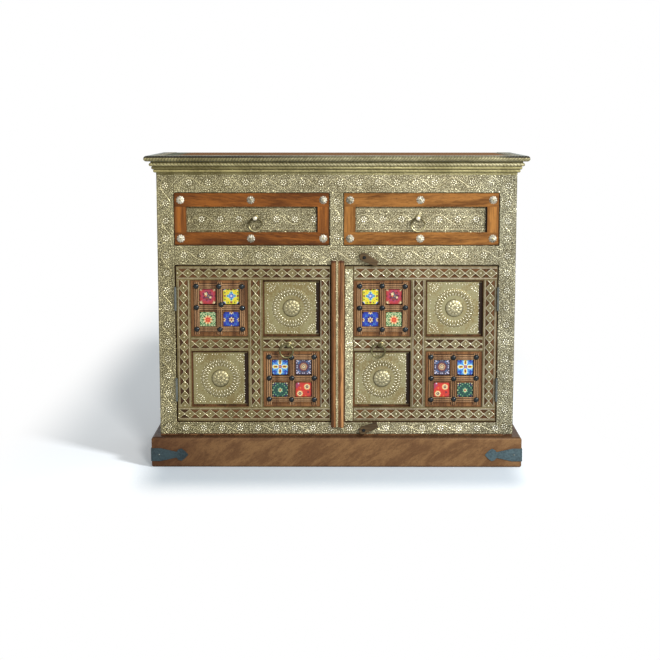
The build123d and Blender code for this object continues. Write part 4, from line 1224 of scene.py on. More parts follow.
for name in drawers:
    low, high = box_mm(f"{name}_frame")
    plate_face = box_mm(f"{name}_plate")[0][1]
    inner_low, inner_high = low[2] + drawer_bottom_bar, high[2] - drawer_top_bar
    plate = band_pattern(low[0] + drawer_side_bar, high[0] - drawer_side_bar, inner_low, inner_high,
                         plate_face, plate_pitch, plate_first[name], seed=9,
                         margin=plate_margin, left_out=(behind_post,))
    emboss(name, [plate], name, petal_brass)
    # Painted shadow: a dark lath along the plate's right edge.
    lath = lath_shape(high[0] - drawer_side_bar - drawer_shadow_width / 2, (inner_low + inner_high) / 2,
                      drawer_shadow_width / 2, (inner_high - inner_low) / 2, plate_face - drawer_lath_rise,
                      plate_face + lath_seat)
    settle(flat_object(f"{name}_lath", lath, groove_wood), name, "drawer_wood")

# %% [markdown]
# ## Openwork of the doors
# The frame already has the pierced strips, whose diamonds touch point to point. On the real doors a raised
# wire outlines every diamond, a bead sits in its middle, and a fillet runs along both sides of the row. The
# outlines cross between two diamonds, so they are drawn as two zigzags per strip.

# %% Sizes of the doors' bands
fret_margin = 1.0
field_half = 12.5
pitch_across, pitch_up = 30.35, 29.0
first_across, first_up, first_middle = 3.5, 24.0, 26.5
outline_radius = 0.9
fillet_radius, fillet_away, fillet_inset = 1.25, 2.6, 1.6
fret_end = 1.0
bead_clear = 3
bead_half, bead_height = 3.2, 2.6
door_low, door_high = 132.5, 592.0
rail_low, rail_high = 176.0, 550.0
mid_low, mid_high = 341.0, 385.0
# From the hinge to the meeting edge: hinge band, panel, middle band, panel, meeting band
door_edges = {"left_door": (-466.5, -424.0, -258.0, -214.0, -48.0, -18.0),
              "right_door": (466.5, 426.0, 260.0, 216.0, 50.0, -16.0)}


def fret_bands(edges):
    """Strips as x0, x1, z0, z1, first diamond, and whether it lies. The right door's meeting has no fret."""
    hinge, hinge_in, mid_a, mid_b, meet_in, meeting = edges
    side = 1 if hinge > 0 else -1
    inset = side * fret_margin
    end = meet_in if side > 0 else meeting + inset
    left, right = sorted((hinge - inset, end))
    strips = [(left, right, rail_high + fret_margin, door_high - fret_margin, first_across, True),
              (left, right, door_low + fret_margin, rail_low - fret_margin, first_across, True)]
    uprights = [(hinge - inset, hinge_in + inset), (mid_a - inset, mid_b + inset)]
    if side < 0:
        uprights.append((meet_in - inset, end))
    for a, b in uprights:
        x0, x1 = sorted((a, b))
        strips.append((x0, x1, rail_low - fret_margin, rail_high + fret_margin, first_up, False))
    for a, b in ((hinge_in, mid_a), (mid_b, meet_in)):
        x0, x1 = sorted((a, b))
        x0 = x0 if side > 0 and x0 == meet_in else x0 - fret_margin
        strips.append((x0, x1 + fret_margin, mid_low + fret_margin, mid_high - fret_margin, first_middle,
                       True))
    return strips


def fret_lines(strip, face):
    """Zigzag outlines, fillets and the beads' spots of one strip."""
    x0, x1, z0, z1, first, lying_strip = strip
    length = x1 - x0 if lying_strip else z1 - z0
    pitch = pitch_across if lying_strip else pitch_up
    half_width = (z1 - z0 if lying_strip else x1 - x0) / 2

    def at(u, v):
        if lying_strip:
            return (x0 + u, face, (z0 + z1) / 2 + v)
        return ((x0 + x1) / 2 + v, face, z1 - u)

    tips = [first + k * pitch / 2 for k in range(-2, int(2 * length / pitch) + 3)]
    zigzags = []
    for way in (-1, 1):
        path = [(u, way * field_half * (1, 0, -1, 0)[n % 4]) for n, u in enumerate(tips)]
        cut = []
        for (ua, va), (ub, vb) in zip(path, path[1:]):
            if ub <= fret_end or ua >= length - fret_end:
                continue
            start, stop = max(ua, fret_end), min(ub, length - fret_end)
            slope = (vb - va) / (ub - ua)
            if not cut:
                cut.append(at(start, va + slope * (start - ua)))
            cut.append(at(stop, va + slope * (stop - ua)))
        zigzags.append(cut)
    middles = [first + k * pitch for k in range(int(length / pitch) + 1)]
    beads = [(*at(u, 0.0), 0.0, 1.0) for u in middles if bead_clear < u < length - bead_clear]
    side_line = min(field_half + fillet_away, half_width - fillet_inset)
    fillets = [[at(fret_end, way * side_line), at(length - fret_end, way * side_line)] for way in (-1, 1)]
    return zigzags, fillets, beads


# %% Outlines, fillets and beads on both doors
for name, edges in door_edges.items():
    fret_face = box_mm(f"{name}_fretwork")[0][1]
    found = [fret_lines(strip, fret_face) for strip in fret_bands(edges)]
    outlines, fillets, beads = [[item for items in kind for item in items] for kind in zip(*found)]
    settle(ridges(f"{name}_outlines", outlines, outline_radius, stroke_brass, 6), name, "fret_brass")
    settle(ridges(f"{name}_fillets", fillets, fillet_radius, fillet_brass, 6), name, "fret_brass")
    bead_shape = cap(0, 0, bead_half, bead_half, bead_height, sides=8)
    settle(stamp(f"{name}_beads", bead_shape, beads, stroke_brass), name, "fret_brass")

# %% [markdown]
# ## Bosses
# Each boss is a dome with a flower on it: a bud and two rings of leaves that hug the dome. Round it two
# rings of pointed petals are punched into the flat sheet, over a dark ring of painted shade, then a loose
# border of strokes and a fan in each corner. Four motifs hold it all, and each is stamped on both boss
# sheets of a door. A dark lath along each sheet's right edge is painted shadow.

# %% The boss and its flower
boss_radius, boss_height = 26.6, 7.7
border_inset = 6.5
fan_share = 0.95


def on_dome(radius):
    """How far the dome stands out at a distance from its middle."""
    share = min(radius / boss_radius, 1.0)
    return boss_height * (1 - share * share) ** 0.5


def petal_ring(count, radius, half_long, half_wide, height, shift):
    """Petals that point outwards."""
    angles = [2 * pi * (k + shift) / count for k in range(count)]
    return [cap(radius * cos(a), radius * sin(a), half_long, half_wide, height, a, sides=8) for a in angles]


def shade_ring_shape(inner, outer, height, sides=48):
    """A flat ring of painted shade that stands a little proud, with sloping edges."""
    profile = ((inner, 0.2), (inner + 1.5, -height), (outer - 1.5, -height), (outer, 0.2))
    points = [(radius * cos(2 * pi * k / sides), y, radius * sin(2 * pi * k / sides))
              for radius, y in profile for k in range(sides)]
    faces = [(ring * sides + k, (ring + 1) * sides + k, (ring + 1) * sides + (k + 1) % sides,
              ring * sides + (k + 1) % sides) for ring in range(3) for k in range(sides)]
    return points, faces


def dome_leaf(near, far, half_wide, angle, height=1.4, steps=5):
    """A leaf that hugs the dome from near to far, widest past its middle."""
    across = (-1.0, -0.55, 0.0, 0.55, 1.0)
    points = []
    for n in range(steps + 1):
        share = n / steps
        radius = near + (far - near) * share
        wide = half_wide * max(0.1, sin(pi * share ** 1.4) ** 0.7)
        for v in across:
            stand = on_dome(hypot(radius, wide * v)) - 0.25 + height * (1 - v * v) * sin(pi * share) ** 0.5
            points.append((radius * cos(angle) - wide * v * sin(angle), -stand,
                           radius * sin(angle) + wide * v * cos(angle)))
    width = len(across)
    faces = [(n * width + k, (n + 1) * width + k, (n + 1) * width + k + 1, n * width + k + 1)
             for n in range(steps) for k in range(width - 1)]
    return points, faces


def dome_petals():
    """A bud and two rings of leaves."""
    shapes = [cap(0, 0, 2.0, 2.0, 1.6, lift=on_dome(0), sides=10)]
    # Their count, where they start and end, their half width, and the share of a step that they are turned by
    for count, near, far, half_wide, shift in ((8, 2.6, 14.0, 4.5, 0.0), (12, 12.6, 26.4, 6.2, 0.5)):
        shapes += [dome_leaf(near, far, half_wide, 2 * pi * (k + shift) / count) for k in range(count)]
    return joined(shapes)


def sheet_petals(half_side):
    """Rings of petals round the dome, a border of strokes and a fan in each corner."""
    shapes = []
    # Distance from the middle, half length, half width, height and turn
    for ring in ((41.0, 5.2, 1.25, 1.8, 0.0), (50.5, 5.0, 1.45, 2.2, 0.5), (51.5, 2.6, 0.8, 1.4, 0.0),
                 (57.5, 2.0, 1.2, 1.6, 0.0)):
        shapes += petal_ring(30, *ring)
    edge = half_side - border_inset
    dice = random.Random(12)
    for side in range(4):
        quarter = side * pi / 2
        for n in range(-9, 10):
            u, v = n * edge / 9.3 + dice.uniform(-1.0, 1.0), edge + dice.uniform(-1.5, 1.5)
            x, z = u * cos(quarter) - v * sin(quarter), u * sin(quarter) + v * cos(quarter)
            if dice.random() < 0.8:
                shapes.append(cap(x, z, 2.8, 1.4, 1.6, quarter + (0.9 if n % 2 else -0.9)))
        for ring, count in ((10.0, 3), (18.5, 5)):
            for n in range(count):
                a = quarter + pi + pi / 2 * (n + 0.5) / count
                cx = edge * cos(quarter + pi / 4) * 2 ** 0.5 * fan_share + ring * cos(a)
                cz = edge * sin(quarter + pi / 4) * 2 ** 0.5 * fan_share + ring * sin(a)
                shapes.append(cap(cx, cz, 3.2, 1.5, 1.7, a))
    return joined(shapes)


def panel_middle(edges, column, row):
    """Middle of a panel. Column 0 is the left one and row 0 the lower one."""
    columns = sorted((sorted((edges[1], edges[2])), sorted((edges[3], edges[4]))))
    rows = ((rail_low, mid_low), (mid_high, rail_high))
    return sum(columns[column]) / 2, sum(rows[row]) / 2


sheet_half = 77.0
shade_ring_inner, shade_ring_outer, shade_ring_rise = 37.0, 58.0, 0.3
shadow_lath_reach, shadow_lath_width, shadow_lath_half_height = 80.0, 9.0, 76.0
door_lath_rise = 0.5
for name, edges in door_edges.items():
    sheet_face = box_mm(f"{name}_boss_sheets")[1][1] - sheet_thickness
    middles = [panel_middle(edges, n, n) for n in (0, 1)]
    spots = [(x, sheet_face, z, 0.0, 1.0) for x, z in middles]
    dome = cap(0, 0, boss_radius, boss_radius, boss_height, sides=36, rings=7)
    for part, motif, finish in (("domes", dome, dome_brass),
                                # The dark ring under the sheet's petals is painted shade.
                                ("hollows", shade_ring_shape(shade_ring_inner, shade_ring_outer, shade_ring_rise), dark_brass),
                                ("dome_petals", dome_petals(), boss_petal_brass),
                                ("sheet_petals", sheet_petals(sheet_half), rosette_brass)):
        settle(stamp(f"{name}_{part}", motif, spots, finish), name, "embossed_brass")
    # Painted shadow: a dark lath along each boss sheet's right edge.
    laths = joined([lath_shape(x + shadow_lath_reach - shadow_lath_width / 2, z, shadow_lath_width / 2, shadow_lath_half_height,
                               sheet_face - door_lath_rise, sheet_face + lath_seat) for x, z in middles])
    settle(flat_object(f"{name}_laths", laths, groove_wood), name, "door_wood")

# %% [markdown]
# ## Tile frames
# The wooden frames that hold the tiles are reeded: three half-rounds run side by side along each line of
# studs. The ridge tree draws them, since a reed is a half sunk rod, in a paler wood that paints a highlight
# on them. Thin dark wires between them are painted shade in the grooves.

# %% Reeds
stud_across, stud_up = 66.0, 63.0
stud_lift = 1.7
groove_radius = 0.8
reed_radius = 2.1
reed_spacing = 5.2
reed_reach = 77.0
for name, edges in door_edges.items():
    frame_face = box_mm(f"{name}_tile_frames")[0][1]
    # Reeds in the paler wood of painted highlight, and wires of painted shade in the grooves.
    for part, steps, radius, finish in (("reeds", (-1, 0, 1), reed_radius, reed_wood),
                                        ("grooves", (-1.5, -0.5, 0.5, 1.5), groove_radius, groove_wood)):
        paths = []
        for column, row in ((0, 1), (1, 0)):
            x, z = panel_middle(edges, column, row)
            for line in (-1, 0, 1):
                for step in steps:
                    off = line * stud_across + step * reed_spacing
                    paths.append([(x + off, frame_face, z + end) for end in (-reed_reach, reed_reach)])
                    off = stud_lift + line * stud_up + step * reed_spacing
                    for a, b in ((-1, 0), (0, 1)):
                        paths.append([(x + end * stud_across, frame_face, z + off) for end in (a, b)])
        settle(ridges(f"{name}_{part}", paths, radius, finish, 8), name, "frame_wood")

# %% [markdown]
# ## Iron studs
# Nine round headed iron studs hold each frame. They were set by eye, so they stray a little from their grid.
# The head is a high dome with a narrow flat rim.

# %% Iron studs
stud_radius, stud_height = 8.7, 5.8
stud_seat = 1.0
stud_stray = 1.1
rim_height, head_share = 1.2, 0.93
bent_stud = ("left_door", 0, 1)
bent_by = (5.0, 8.7)


def stud_shape(radius, height):
    """A high dome with a narrow flat rim."""
    rim = cap(0, 0, radius, radius, rim_height, sides=16)
    head = radius * head_share
    return joined([rim, cap(0, 0, head, head, height, sides=16, rings=4)])


for name, edges in door_edges.items():
    frame_face = box_mm(f"{name}_tile_frames")[0][1]
    dice = random.Random(len(name))
    spots = []
    for column, row in ((0, 1), (1, 0)):
        x, z = panel_middle(edges, column, row)
        for across in (-1, 0, 1):
            for up in (-1, 0, 1):
                off = bent_by if (name, column, row) == bent_stud and across == up == 0 else (0.0, 0.0)
                spots.append((x + across * stud_across + off[0] + dice.uniform(-stud_stray, stud_stray),
                              frame_face - stud_seat,
                              z + stud_lift + up * stud_up + off[1] + dice.uniform(-stud_stray, stud_stray),
                              0.0, 1.0))
    settle(stamp(f"{name}_studs", stud_shape(stud_radius, stud_height), spots, stud_iron), name, "iron")

# %% [markdown]
# ## Daisy studs
# Six cast studs sit on the wooden bars of each drawer front. Each is a low dome whose rim is cut into
# petals. The dome's height and radius both follow the cosine of the petal's angle.

# %% Daisy studs
daisy_radius, daisy_height = 12.4, 3.6
daisy_cut, daisy_groove = 0.10, 2.8
daisy_inset, daisy_shift = 17.0, 3.0
daisy_button, button_height = 3.4, 1.1


def daisy_shape(petals=10, sides=60, rings=5):
    """A dome whose rim and height follow the petals."""
    points = [(0.0, -daisy_height, 0.0)]
    for ring in range(1, rings + 1):
        share = ring / rings
        for k in range(sides):
            a = 2 * pi * k / sides
            wave = abs(cos(petals * a / 2))
            radius = daisy_radius * share * (1 - daisy_cut * share * (1 - wave))
            rise = daisy_height * (1 - share ** 2) ** 0.5 if ring < rings else -sunk
            groove = daisy_groove * share * (1 - wave) if 1 < ring < rings else 0.0
            points.append((radius * cos(a), -(rise - groove), radius * sin(a)))
    return points, fan_and_rings(rings, sides)


for name in drawers:
    low, high = box_mm(f"{name}_frame")
    spots = []
    for x in (low[0] + daisy_inset, (low[0] + high[0]) / 2 - daisy_shift, high[0] - daisy_inset):
        for z in (low[2] + drawer_bottom_bar / 2, high[2] - drawer_top_bar / 2):
            spots.append((x, low[1], z, 0.0, 1.0))
    settle(stamp(f"{name}_daisies", daisy_shape(), spots, silvered, 0.3, 4), name, "cast_brass")
    button = cap(0, 0, daisy_button, daisy_button, button_height, lift=daisy_height - 0.5, sides=12)
    settle(stamp(f"{name}_daisy_buttons", button, spots, cast_brass), name, "cast_brass")

# %% [markdown]
# ## Painted tiles
# The tiles are glazed earthenware, about five centimetres square, each painted with one of eight old
# patterns of flowers and stars. A tile is a rounded square with softened edges and its own flat map, and the
# paint is a stack of flowers on that map. A flower is a circle whose edge swells and shrinks with the angle,
# so one small shader group draws every petal, dot and star. Where a pattern is the same in all four
# quarters, the map is folded first, and one flower then makes four.

# %% The flower group
flower, flower_in, flower_out = shader_group(
    "painted_flower",
    [("Vector", VECTOR, None), ("Across", VALUE, 0.0), ("Up", VALUE, 0.0), ("Radius", VALUE, 0.1),
     ("Petals", VALUE, 0.0), ("Depth", VALUE, 0.0), ("Turn", VALUE, 0.0)],
    [("Mask", VALUE)])


def build_flower():
    tree = flower
    parts = split(tree, flower_in["Vector"])
    across = calc(tree, "SUBTRACT", parts[0], flower_in["Across"])
    up = calc(tree, "SUBTRACT", parts[1], flower_in["Up"])
    distance = calc(tree, "SQRT", calc(tree, "ADD", calc(tree, "MULTIPLY", across, across),
                                       calc(tree, "MULTIPLY", up, up)))
    angle = calc(tree, "ADD", calc(tree, "ARCTAN2", up, across), flower_in["Turn"])
    wave = calc(tree, "COSINE", calc(tree, "MULTIPLY", angle, flower_in["Petals"]))
    swell = calc(tree, "MULTIPLY", calc(tree, "SUBTRACT", wave, 1.0),
                 calc(tree, "MULTIPLY", flower_in["Depth"], 0.5))
    edge = calc(tree, "MULTIPLY", flower_in["Radius"], calc(tree, "ADD", swell, 1.0))
    inside = calc(tree, "SUBTRACT", edge, distance)
    tree.links.new(ramp(tree, inside, -0.006, 0.010), flower_out["Mask"])


build_flower()

# %% [markdown]
# ## The eight patterns
# A pattern is a ground colour and a list of flowers, from the lowest to the topmost. Places and sizes are
# shares of the tile's side, counted from its middle, and a turn is in degrees.

# %% Colours of the eight patterns
cream, white, ink = srgb(234, 212, 158), srgb(228, 230, 220), srgb(30, 34, 84)
maroon, rose, brick = srgb(110, 34, 48), srgb(188, 58, 62), srgb(146, 62, 40)
lemon, orange, scarlet = srgb(236, 222, 54), srgb(232, 116, 50), srgb(214, 58, 46)
cobalt, azure, sky = srgb(38, 60, 168), srgb(62, 142, 210), srgb(132, 186, 232)
leaf_green, deep_green, lime = srgb(34, 108, 56), srgb(26, 76, 68), srgb(126, 182, 128)
tan, lavender, dusk = srgb(186, 150, 110), srgb(206, 202, 222), srgb(78, 70, 92)
mint, plum, teal = srgb(204, 216, 160), srgb(170, 60, 88), srgb(56, 140, 140)


def plain(across, up, radius, petals, depth, turn, tint):
    """One painted flower."""
    return ("plain", across, up, radius, petals, depth, turn, tint)


def folded(across, up, radius, petals, depth, turn, tint):
    """The same flower in all four quarters."""
    return ("folded", across, up, radius, petals, depth, turn, tint)


def dot(across, up, radius, tint):
    """A round dot in all four quarters."""
    return ("folded", across, up, radius, 0, 0.0, 0, tint)


def cross(out, radius, petals, depth, tint):
    """Four flowers at the ends of an upright cross."""
    return folded(out, 0.0, radius, petals, depth, 0, tint), folded(0.0, out, radius, petals, depth, 90, tint)


def twins(radius, petals, depth, tint):
    """Two flowers on the rising diagonal."""
    return (plain(0.21, 0.21, radius, petals, depth, 0, tint),
            plain(-0.23, -0.21, radius, petals, depth, 0, tint))


tile_patterns = {
    "rose": (rose, [
        plain(0.0, 0.0, 0.40, 9, 0.2, 10, plum), plain(0.0, 0.0, 0.33, 7, 0.35, 0, maroon),
        plain(0.02, 0.0, 0.22, 6, 0.6, 25, dusk), plain(-0.10, 0.12, 0.12, 5, 0.5, 0, cream),
        plain(-0.11, 0.0, 0.07, 4, 0.4, 0, orange), plain(0.17, -0.09, 0.08, 5, 0.4, 30, cream),
        plain(0.11, 0.15, 0.06, 3, 0.5, 0, rose), plain(-0.03, -0.17, 0.08, 4, 0.5, 0, brick),
        plain(0.05, -0.01, 0.05, 3, 0.5, 0, tan), folded(0.42, 0.42, 0.16, 5, 0.5, 45, tan),
        dot(0.42, 0.42, 0.07, cream), folded(0.46, 0.0, 0.07, 3, 0.5, 0, maroon)]),
    "sunflower": (lemon, [
        folded(0.5, 0.5, 0.22, 8, 0.3, 0, white), dot(0.5, 0.5, 0.15, cobalt),
        dot(0.47, 0.47, 0.07, leaf_green),
        folded(0.39, 0.20, 0.06, 3, 0.5, 60, deep_green), folded(0.20, 0.39, 0.06, 3, 0.5, 30, deep_green),
        folded(0.38, 0.0, 0.085, 4, 0.4, 0, brick), folded(0.0, 0.38, 0.085, 4, 0.4, 0, brick),
        folded(0.26, 0.26, 0.045, 3, 0.5, 45, orange), plain(0.0, 0.0, 0.33, 4, 0.6, 0, mint),
        plain(0.0, 0.0, 0.28, 4, 0.65, 0, teal), plain(0.0, 0.0, 0.23, 8, 0.3, 22, sky),
        plain(0.0, 0.0, 0.17, 8, 0.4, 0, cobalt), plain(0.0, 0.0, 0.09, 8, 0.3, 0, lavender)]),
    "star": (mint, [
        folded(0.5, 0.5, 0.30, 6, 0.25, 0, leaf_green), folded(0.5, 0.5, 0.24, 6, 0.25, 0, mint),
        folded(0.5, 0.5, 0.15, 4, 0.3, 45, leaf_green), dot(0.5, 0.5, 0.08, cream),
        plain(0.0, 0.0, 0.53, 8, 0.45, 22, leaf_green), plain(0.0, 0.0, 0.46, 8, 0.4, 22, mint),
        plain(0.0, 0.0, 0.42, 16, 0.35, 0, leaf_green), plain(0.0, 0.0, 0.32, 8, 0.5, 22, cream),
        plain(0.0, 0.0, 0.26, 8, 0.5, 0, orange), plain(0.0, 0.0, 0.17, 4, 0.35, 45, scarlet),
        plain(0.0, 0.0, 0.07, 4, 0.3, 0, orange)]),
    "midnight": (cobalt, [
        folded(0.25, 0.25, 0.09, 4, 0.6, 45, azure), dot(0.25, 0.25, 0.035, ink),
        folded(0.44, 0.44, 0.09, 3, 0.5, 0, ink), dot(0.12, 0.33, 0.03, azure), dot(0.33, 0.12, 0.03, azure),
        folded(0.46, 0.0, 0.14, 6, 0.5, 0, cream), folded(0.0, 0.46, 0.14, 6, 0.5, 30, cream),
        dot(0.46, 0.0, 0.05, brick), dot(0.0, 0.46, 0.05, brick), plain(0.0, 0.0, 0.24, 6, 0.5, 0, ink),
        plain(0.0, 0.0, 0.18, 6, 0.45, 30, cream), plain(0.0, 0.0, 0.07, 0, 0.0, 0, brick)]),
    "compass": (azure, [
        folded(0.5, 0.5, 0.26, 6, 0.3, 0, cobalt), folded(0.40, 0.40, 0.07, 3, 0.5, 0, sky),
        folded(0.32, 0.32, 0.14, 4, 0.6, 0, cobalt), plain(0.0, 0.0, 0.46, 8, 0.7, 22, sky),
        folded(0.22, 0.22, 0.10, 4, 0.5, 45, azure),
        *cross(0.29, 0.20, 2, 0.45, white), *cross(0.28, 0.15, 2, 0.5, lemon),
        *cross(0.27, 0.10, 2, 0.5, brick),
        plain(0.0, 0.0, 0.12, 6, 0.3, 0, plum), plain(0.0, 0.0, 0.05, 0, 0.0, 0, tan)]),
    "dusk": (dusk, [
        folded(0.37, 0.37, 0.10, 2, 0.6, -45, lavender), dot(0.24, 0.42, 0.035, lavender),
        dot(0.42, 0.24, 0.035, lavender), dot(0.05, 0.40, 0.035, lavender), dot(0.40, 0.05, 0.035, lavender),
        dot(0.30, 0.22, 0.03, azure), dot(0.22, 0.30, 0.03, azure),
        plain(0.0, 0.0, 0.28, 12, 0.12, 0, maroon),
        plain(0.0, 0.0, 0.22, 12, 0.1, 0, tan), plain(0.0, 0.0, 0.15, 8, 0.25, 0, dusk),
        plain(0.0, 0.0, 0.11, 8, 0.3, 22, cream), plain(0.0, 0.0, 0.04, 0, 0.0, 0, brick)]),
    "garden": (deep_green, [
        folded(0.36, 0.36, 0.11, 5, 0.4, 0, ink), dot(0.42, 0.42, 0.05, cream),
        folded(0.15, 0.37, 0.05, 3, 0.5, 0, lime), folded(0.37, 0.15, 0.05, 3, 0.5, 90, lime),
        folded(0.27, 0.27, 0.05, 3, 0.5, 45, lime), dot(0.0, 0.45, 0.04, mint), dot(0.45, 0.0, 0.04, mint),
        dot(0.28, 0.44, 0.03, mint), dot(0.44, 0.28, 0.03, mint), dot(0.10, 0.24, 0.03, leaf_green),
        plain(0.0, 0.0, 0.18, 6, 0.5, 30, lime), plain(0.0, 0.0, 0.12, 6, 0.4, 0, cream),
        plain(0.0, 0.0, 0.06, 0, 0.0, 0, brick)]),
    "ember": (scarlet, [
        plain(-0.42, 0.30, 0.20, 4, 0.5, 0, plum), plain(-0.32, 0.42, 0.06, 3, 0.5, 0, lavender),
        plain(0.40, -0.38, 0.14, 4, 0.5, 20, rose), plain(0.28, -0.12, 0.08, 3, 0.5, 0, maroon),
        plain(0.12, -0.36, 0.07, 3, 0.5, 40, orange), plain(-0.20, 0.14, 0.07, 3, 0.5, 60, orange),
        *twins(0.22, 10, 0.15, orange), *twins(0.18, 10, 0.15, cream), *twins(0.11, 6, 0.3, brick),
        *twins(0.08, 6, 0.3, dusk), *twins(0.03, 0, 0.0, cream)]),
}
print("patterns:", len(tile_patterns))

# %% [markdown]
# ## Glaze
# A brush wavers, so a soft swirl bends the map a little before the flowers are drawn. The ground is darker
# in clouds, and the glaze over it is a thin clear coat with a faint ripple.

# %% Glazed finishes, one for each pattern
glaze_depth = 0.66
brush_scale, brush_waver = 7.0, 0.05
cloud_tone = 0.55


def tile_finish(name, ground, layers):
    """The flowers of one pattern, painted over each other on the tile's own map."""
    material, tree, shader = new_finish(f"tile_{name}", {"Roughness": 0.3, "Coat Weight": 0.25,
                                                         "Coat Roughness": 0.08, "Specular IOR Level": 0.3})
    uv = put(tree, "ShaderNodeTexCoord").outputs["UV"]
    waver = swirl(tree, uv, brush_scale, 2.0, brush_waver)
    centred = vector_calc(tree, "SUBTRACT", uv, (0.5, 0.5, 0.0))
    maps = {"plain": vector_calc(tree, "ADD", centred, waver)}
    maps["folded"] = vector_calc(tree, "ABSOLUTE", maps["plain"])
    shade = noise(tree, uv, 5.0, 3.0)
    clouds = tuple(cloud_tone * c for c in ground[:3]) + (1.0,)
    colour = paint(tree, ramp(tree, shade, 0.3, 0.7, 0.0, 0.35), ground, clouds)
    for where, across, up, radius, petals, depth, turn, tint in layers:
        mask = put(tree, "ShaderNodeGroup",
                   {"Vector": maps[where], "Across": across, "Up": up, "Radius": radius,
                    "Petals": float(petals), "Depth": depth, "Turn": radians(turn)},
                   node_tree=flower).outputs[0]
        colour = paint(tree, mask, colour, tint)
    deep = paint(tree, 1.0, colour, (glaze_depth, glaze_depth, glaze_depth, 1.0), "MULTIPLY")
    tree.links.new(deep, shader.inputs["Base Color"])
    roughen(tree, shader, shade, 0.15, 0.0006)
    return material


tile_finishes = {name: tile_finish(name, *pattern) for name, pattern in tile_patterns.items()}
print("glazed finishes:", sorted(tile_finishes))

# %% [markdown]
# ## Tiles in their frames
# Four tiles stand in each frame, and the upper two sit a little high. All the tiles of a door are one mesh,
# in which each tile has its own finish and its own copy of the map.

# %% Tiles in their frames
tile_side, tile_corner, tile_segments = 48.0, 8.0, 40
tile_proud = 0.3


def tile_outline(share):
    """Points of a rounded square, shrunk to a share of its size."""
    half = tile_side / 2
    straight = half - tile_corner
    points = []
    for k in range(tile_segments):
        a = 2 * pi * (k + 0.5) / tile_segments
        x, z = cos(a), sin(a)
        reach_x = straight if x > 0 else -straight
        reach_z = straight if z > 0 else -straight
        points.append((share * (reach_x + tile_corner * x), share * (reach_z + tile_corner * z)))
    return points


def tile_shape(cx, cz, face, back):
    """Rings from the middle to the softened edge, then down to the back."""
    rings = ((0.35, 0.0), (0.7, 0.0), (0.90, 0.05), (0.96, 0.25), (0.99, 0.7), (1.0, 1.4))
    points = [(cx, face, cz)]
    for share, drop in rings:
        points.extend((cx + x, face + drop, cz + z) for x, z in tile_outline(share))
    points.extend((cx + x, back, cz + z) for x, z in tile_outline(1.0))
    points.append((cx, back, cz))
    count = tile_segments
    faces = fan_and_rings(len(rings) + 1, count)
    last, rim = len(points) - 1, 1 + len(rings) * count
    faces.extend((last, rim + (k + 1) % count, rim + k) for k in range(count))
    return points, faces


tile_across, tile_up = 69.0, 68.5
upper_row_lift = 1.6
tile_sets = {("left_door", 0, 1): ("rose", "sunflower", "star", "midnight"),
             ("left_door", 1, 0): ("compass", "dusk", "garden", "ember"),
             ("right_door", 0, 1): ("sunflower", "rose", "midnight", "star"),
             ("right_door", 1, 0): ("dusk", "compass", "ember", "garden")}


def lay_tiles(door):
    """All painted tiles of a door as one piece."""
    low, high = box_mm(f"{door}_tiles")
    shapes, kinds, middles = [], [], []
    for (owner, column, row), kinds_here in tile_sets.items():
        if owner != door:
            continue
        x, z = panel_middle(door_edges[door], column, row)
        for n, kind in enumerate(kinds_here):
            cx = x + (-0.5 if n % 2 == 0 else 0.5) * tile_across
            cz = z + (0.5 if n < 2 else -0.5) * tile_up + (upper_row_lift if n < 2 else 0.0)
            shapes.append(tile_shape(cx, cz, low[1] - tile_proud, high[1]))
            kinds.append(kind)
            middles.append((cx, cz))
    piece = as_object(f"{door}_painted_tiles", joined(shapes))
    mesh = piece.data
    for kind in kinds:
        mesh.materials.append(tile_finishes[kind])
    per_tile = len(mesh.polygons) // len(kinds)
    uv = mesh.uv_layers.new(name="tile_map")
    for face in mesh.polygons:
        tile = face.index // per_tile
        face.material_index = tile
        cx, cz = middles[tile]
        for loop in face.loop_indices:
            point = mesh.vertices[mesh.loops[loop].vertex_index].co
            uv.data[loop].uv = ((point.x / MM - cx) / tile_side + 0.5, (point.z / MM - cz) / tile_side + 0.5)
    settle(piece, door, "tile_glaze", f"{door}_tiles")


for door in door_edges:
    lay_tiles(door)

# %% [markdown]
# ## Ring pulls
# Each pull is a cast post with a ball head and an eye, and a ring of round wire that hangs in the eye. The
# frame's ring is a coarse one, so a smooth ring takes its place, drawn by the ridge tree round a circle of
# the same size with slightly thicker wire. The rings of the drawers get painted shade in their upper half.

# %% Rings
pulls = (*door_edges, *drawers)
frame_wire, wire_radius = 2.2, 2.7
drawer_ring_low, drawer_ring_high = box_mm("left_drawer_ring")
ring_middle = (drawer_ring_low[2] + drawer_ring_high[2]) / 2
# Painted shade: the drawers' rings are darker in their upper half.
toned(pull_brass, 2, ring_middle + 6.0, ring_middle - 10.0, (0.22, 0.20, 0.16))
ring_segments = 56
for name in pulls:
    low, high = box_mm(f"{name}_ring")
    cx, cy, cz = [(a + b) / 2 for a, b in zip(low, high)]
    radius = (high[0] - low[0]) / 2 - frame_wire
    angles = [2 * pi * k / ring_segments for k in range(ring_segments)]
    circle = [(cx + radius * cos(a), cy, cz + radius * sin(a)) for a in angles]
    finish = pull_brass if "drawer" in name else door_pull_brass
    settle(ridges(f"{name}_ring_wire", [circle + [circle[0]]], wire_radius, finish, 14),
           f"{name}_ring", "cast_brass", f"{name}_ring")

# %% [markdown]
# ## Heads and washers
# The post's ball head and the stepped washer at its foot are both turned on a lathe, so each is a profile
# spun round a line. The eye between them stays the frame's own.


# %% Heads and washers of the posts
def turned_shape(profile, x, z, sides=28):
    """A profile of (radius, y) points turned about a line that runs front to back. It starts at the front."""
    points = [(x, profile[0][1], z)]
    for radius, y in profile[1:]:
        points.extend((x + radius * cos(2 * pi * k / sides), y, z + radius * sin(2 * pi * k / sides))
                      for k in range(sides))
    faces = fan_and_rings(len(profile) - 1, sides)
    faces.append(tuple(1 + (len(profile) - 2) * sides + k for k in range(sides - 1, -1, -1)))
    return points, faces


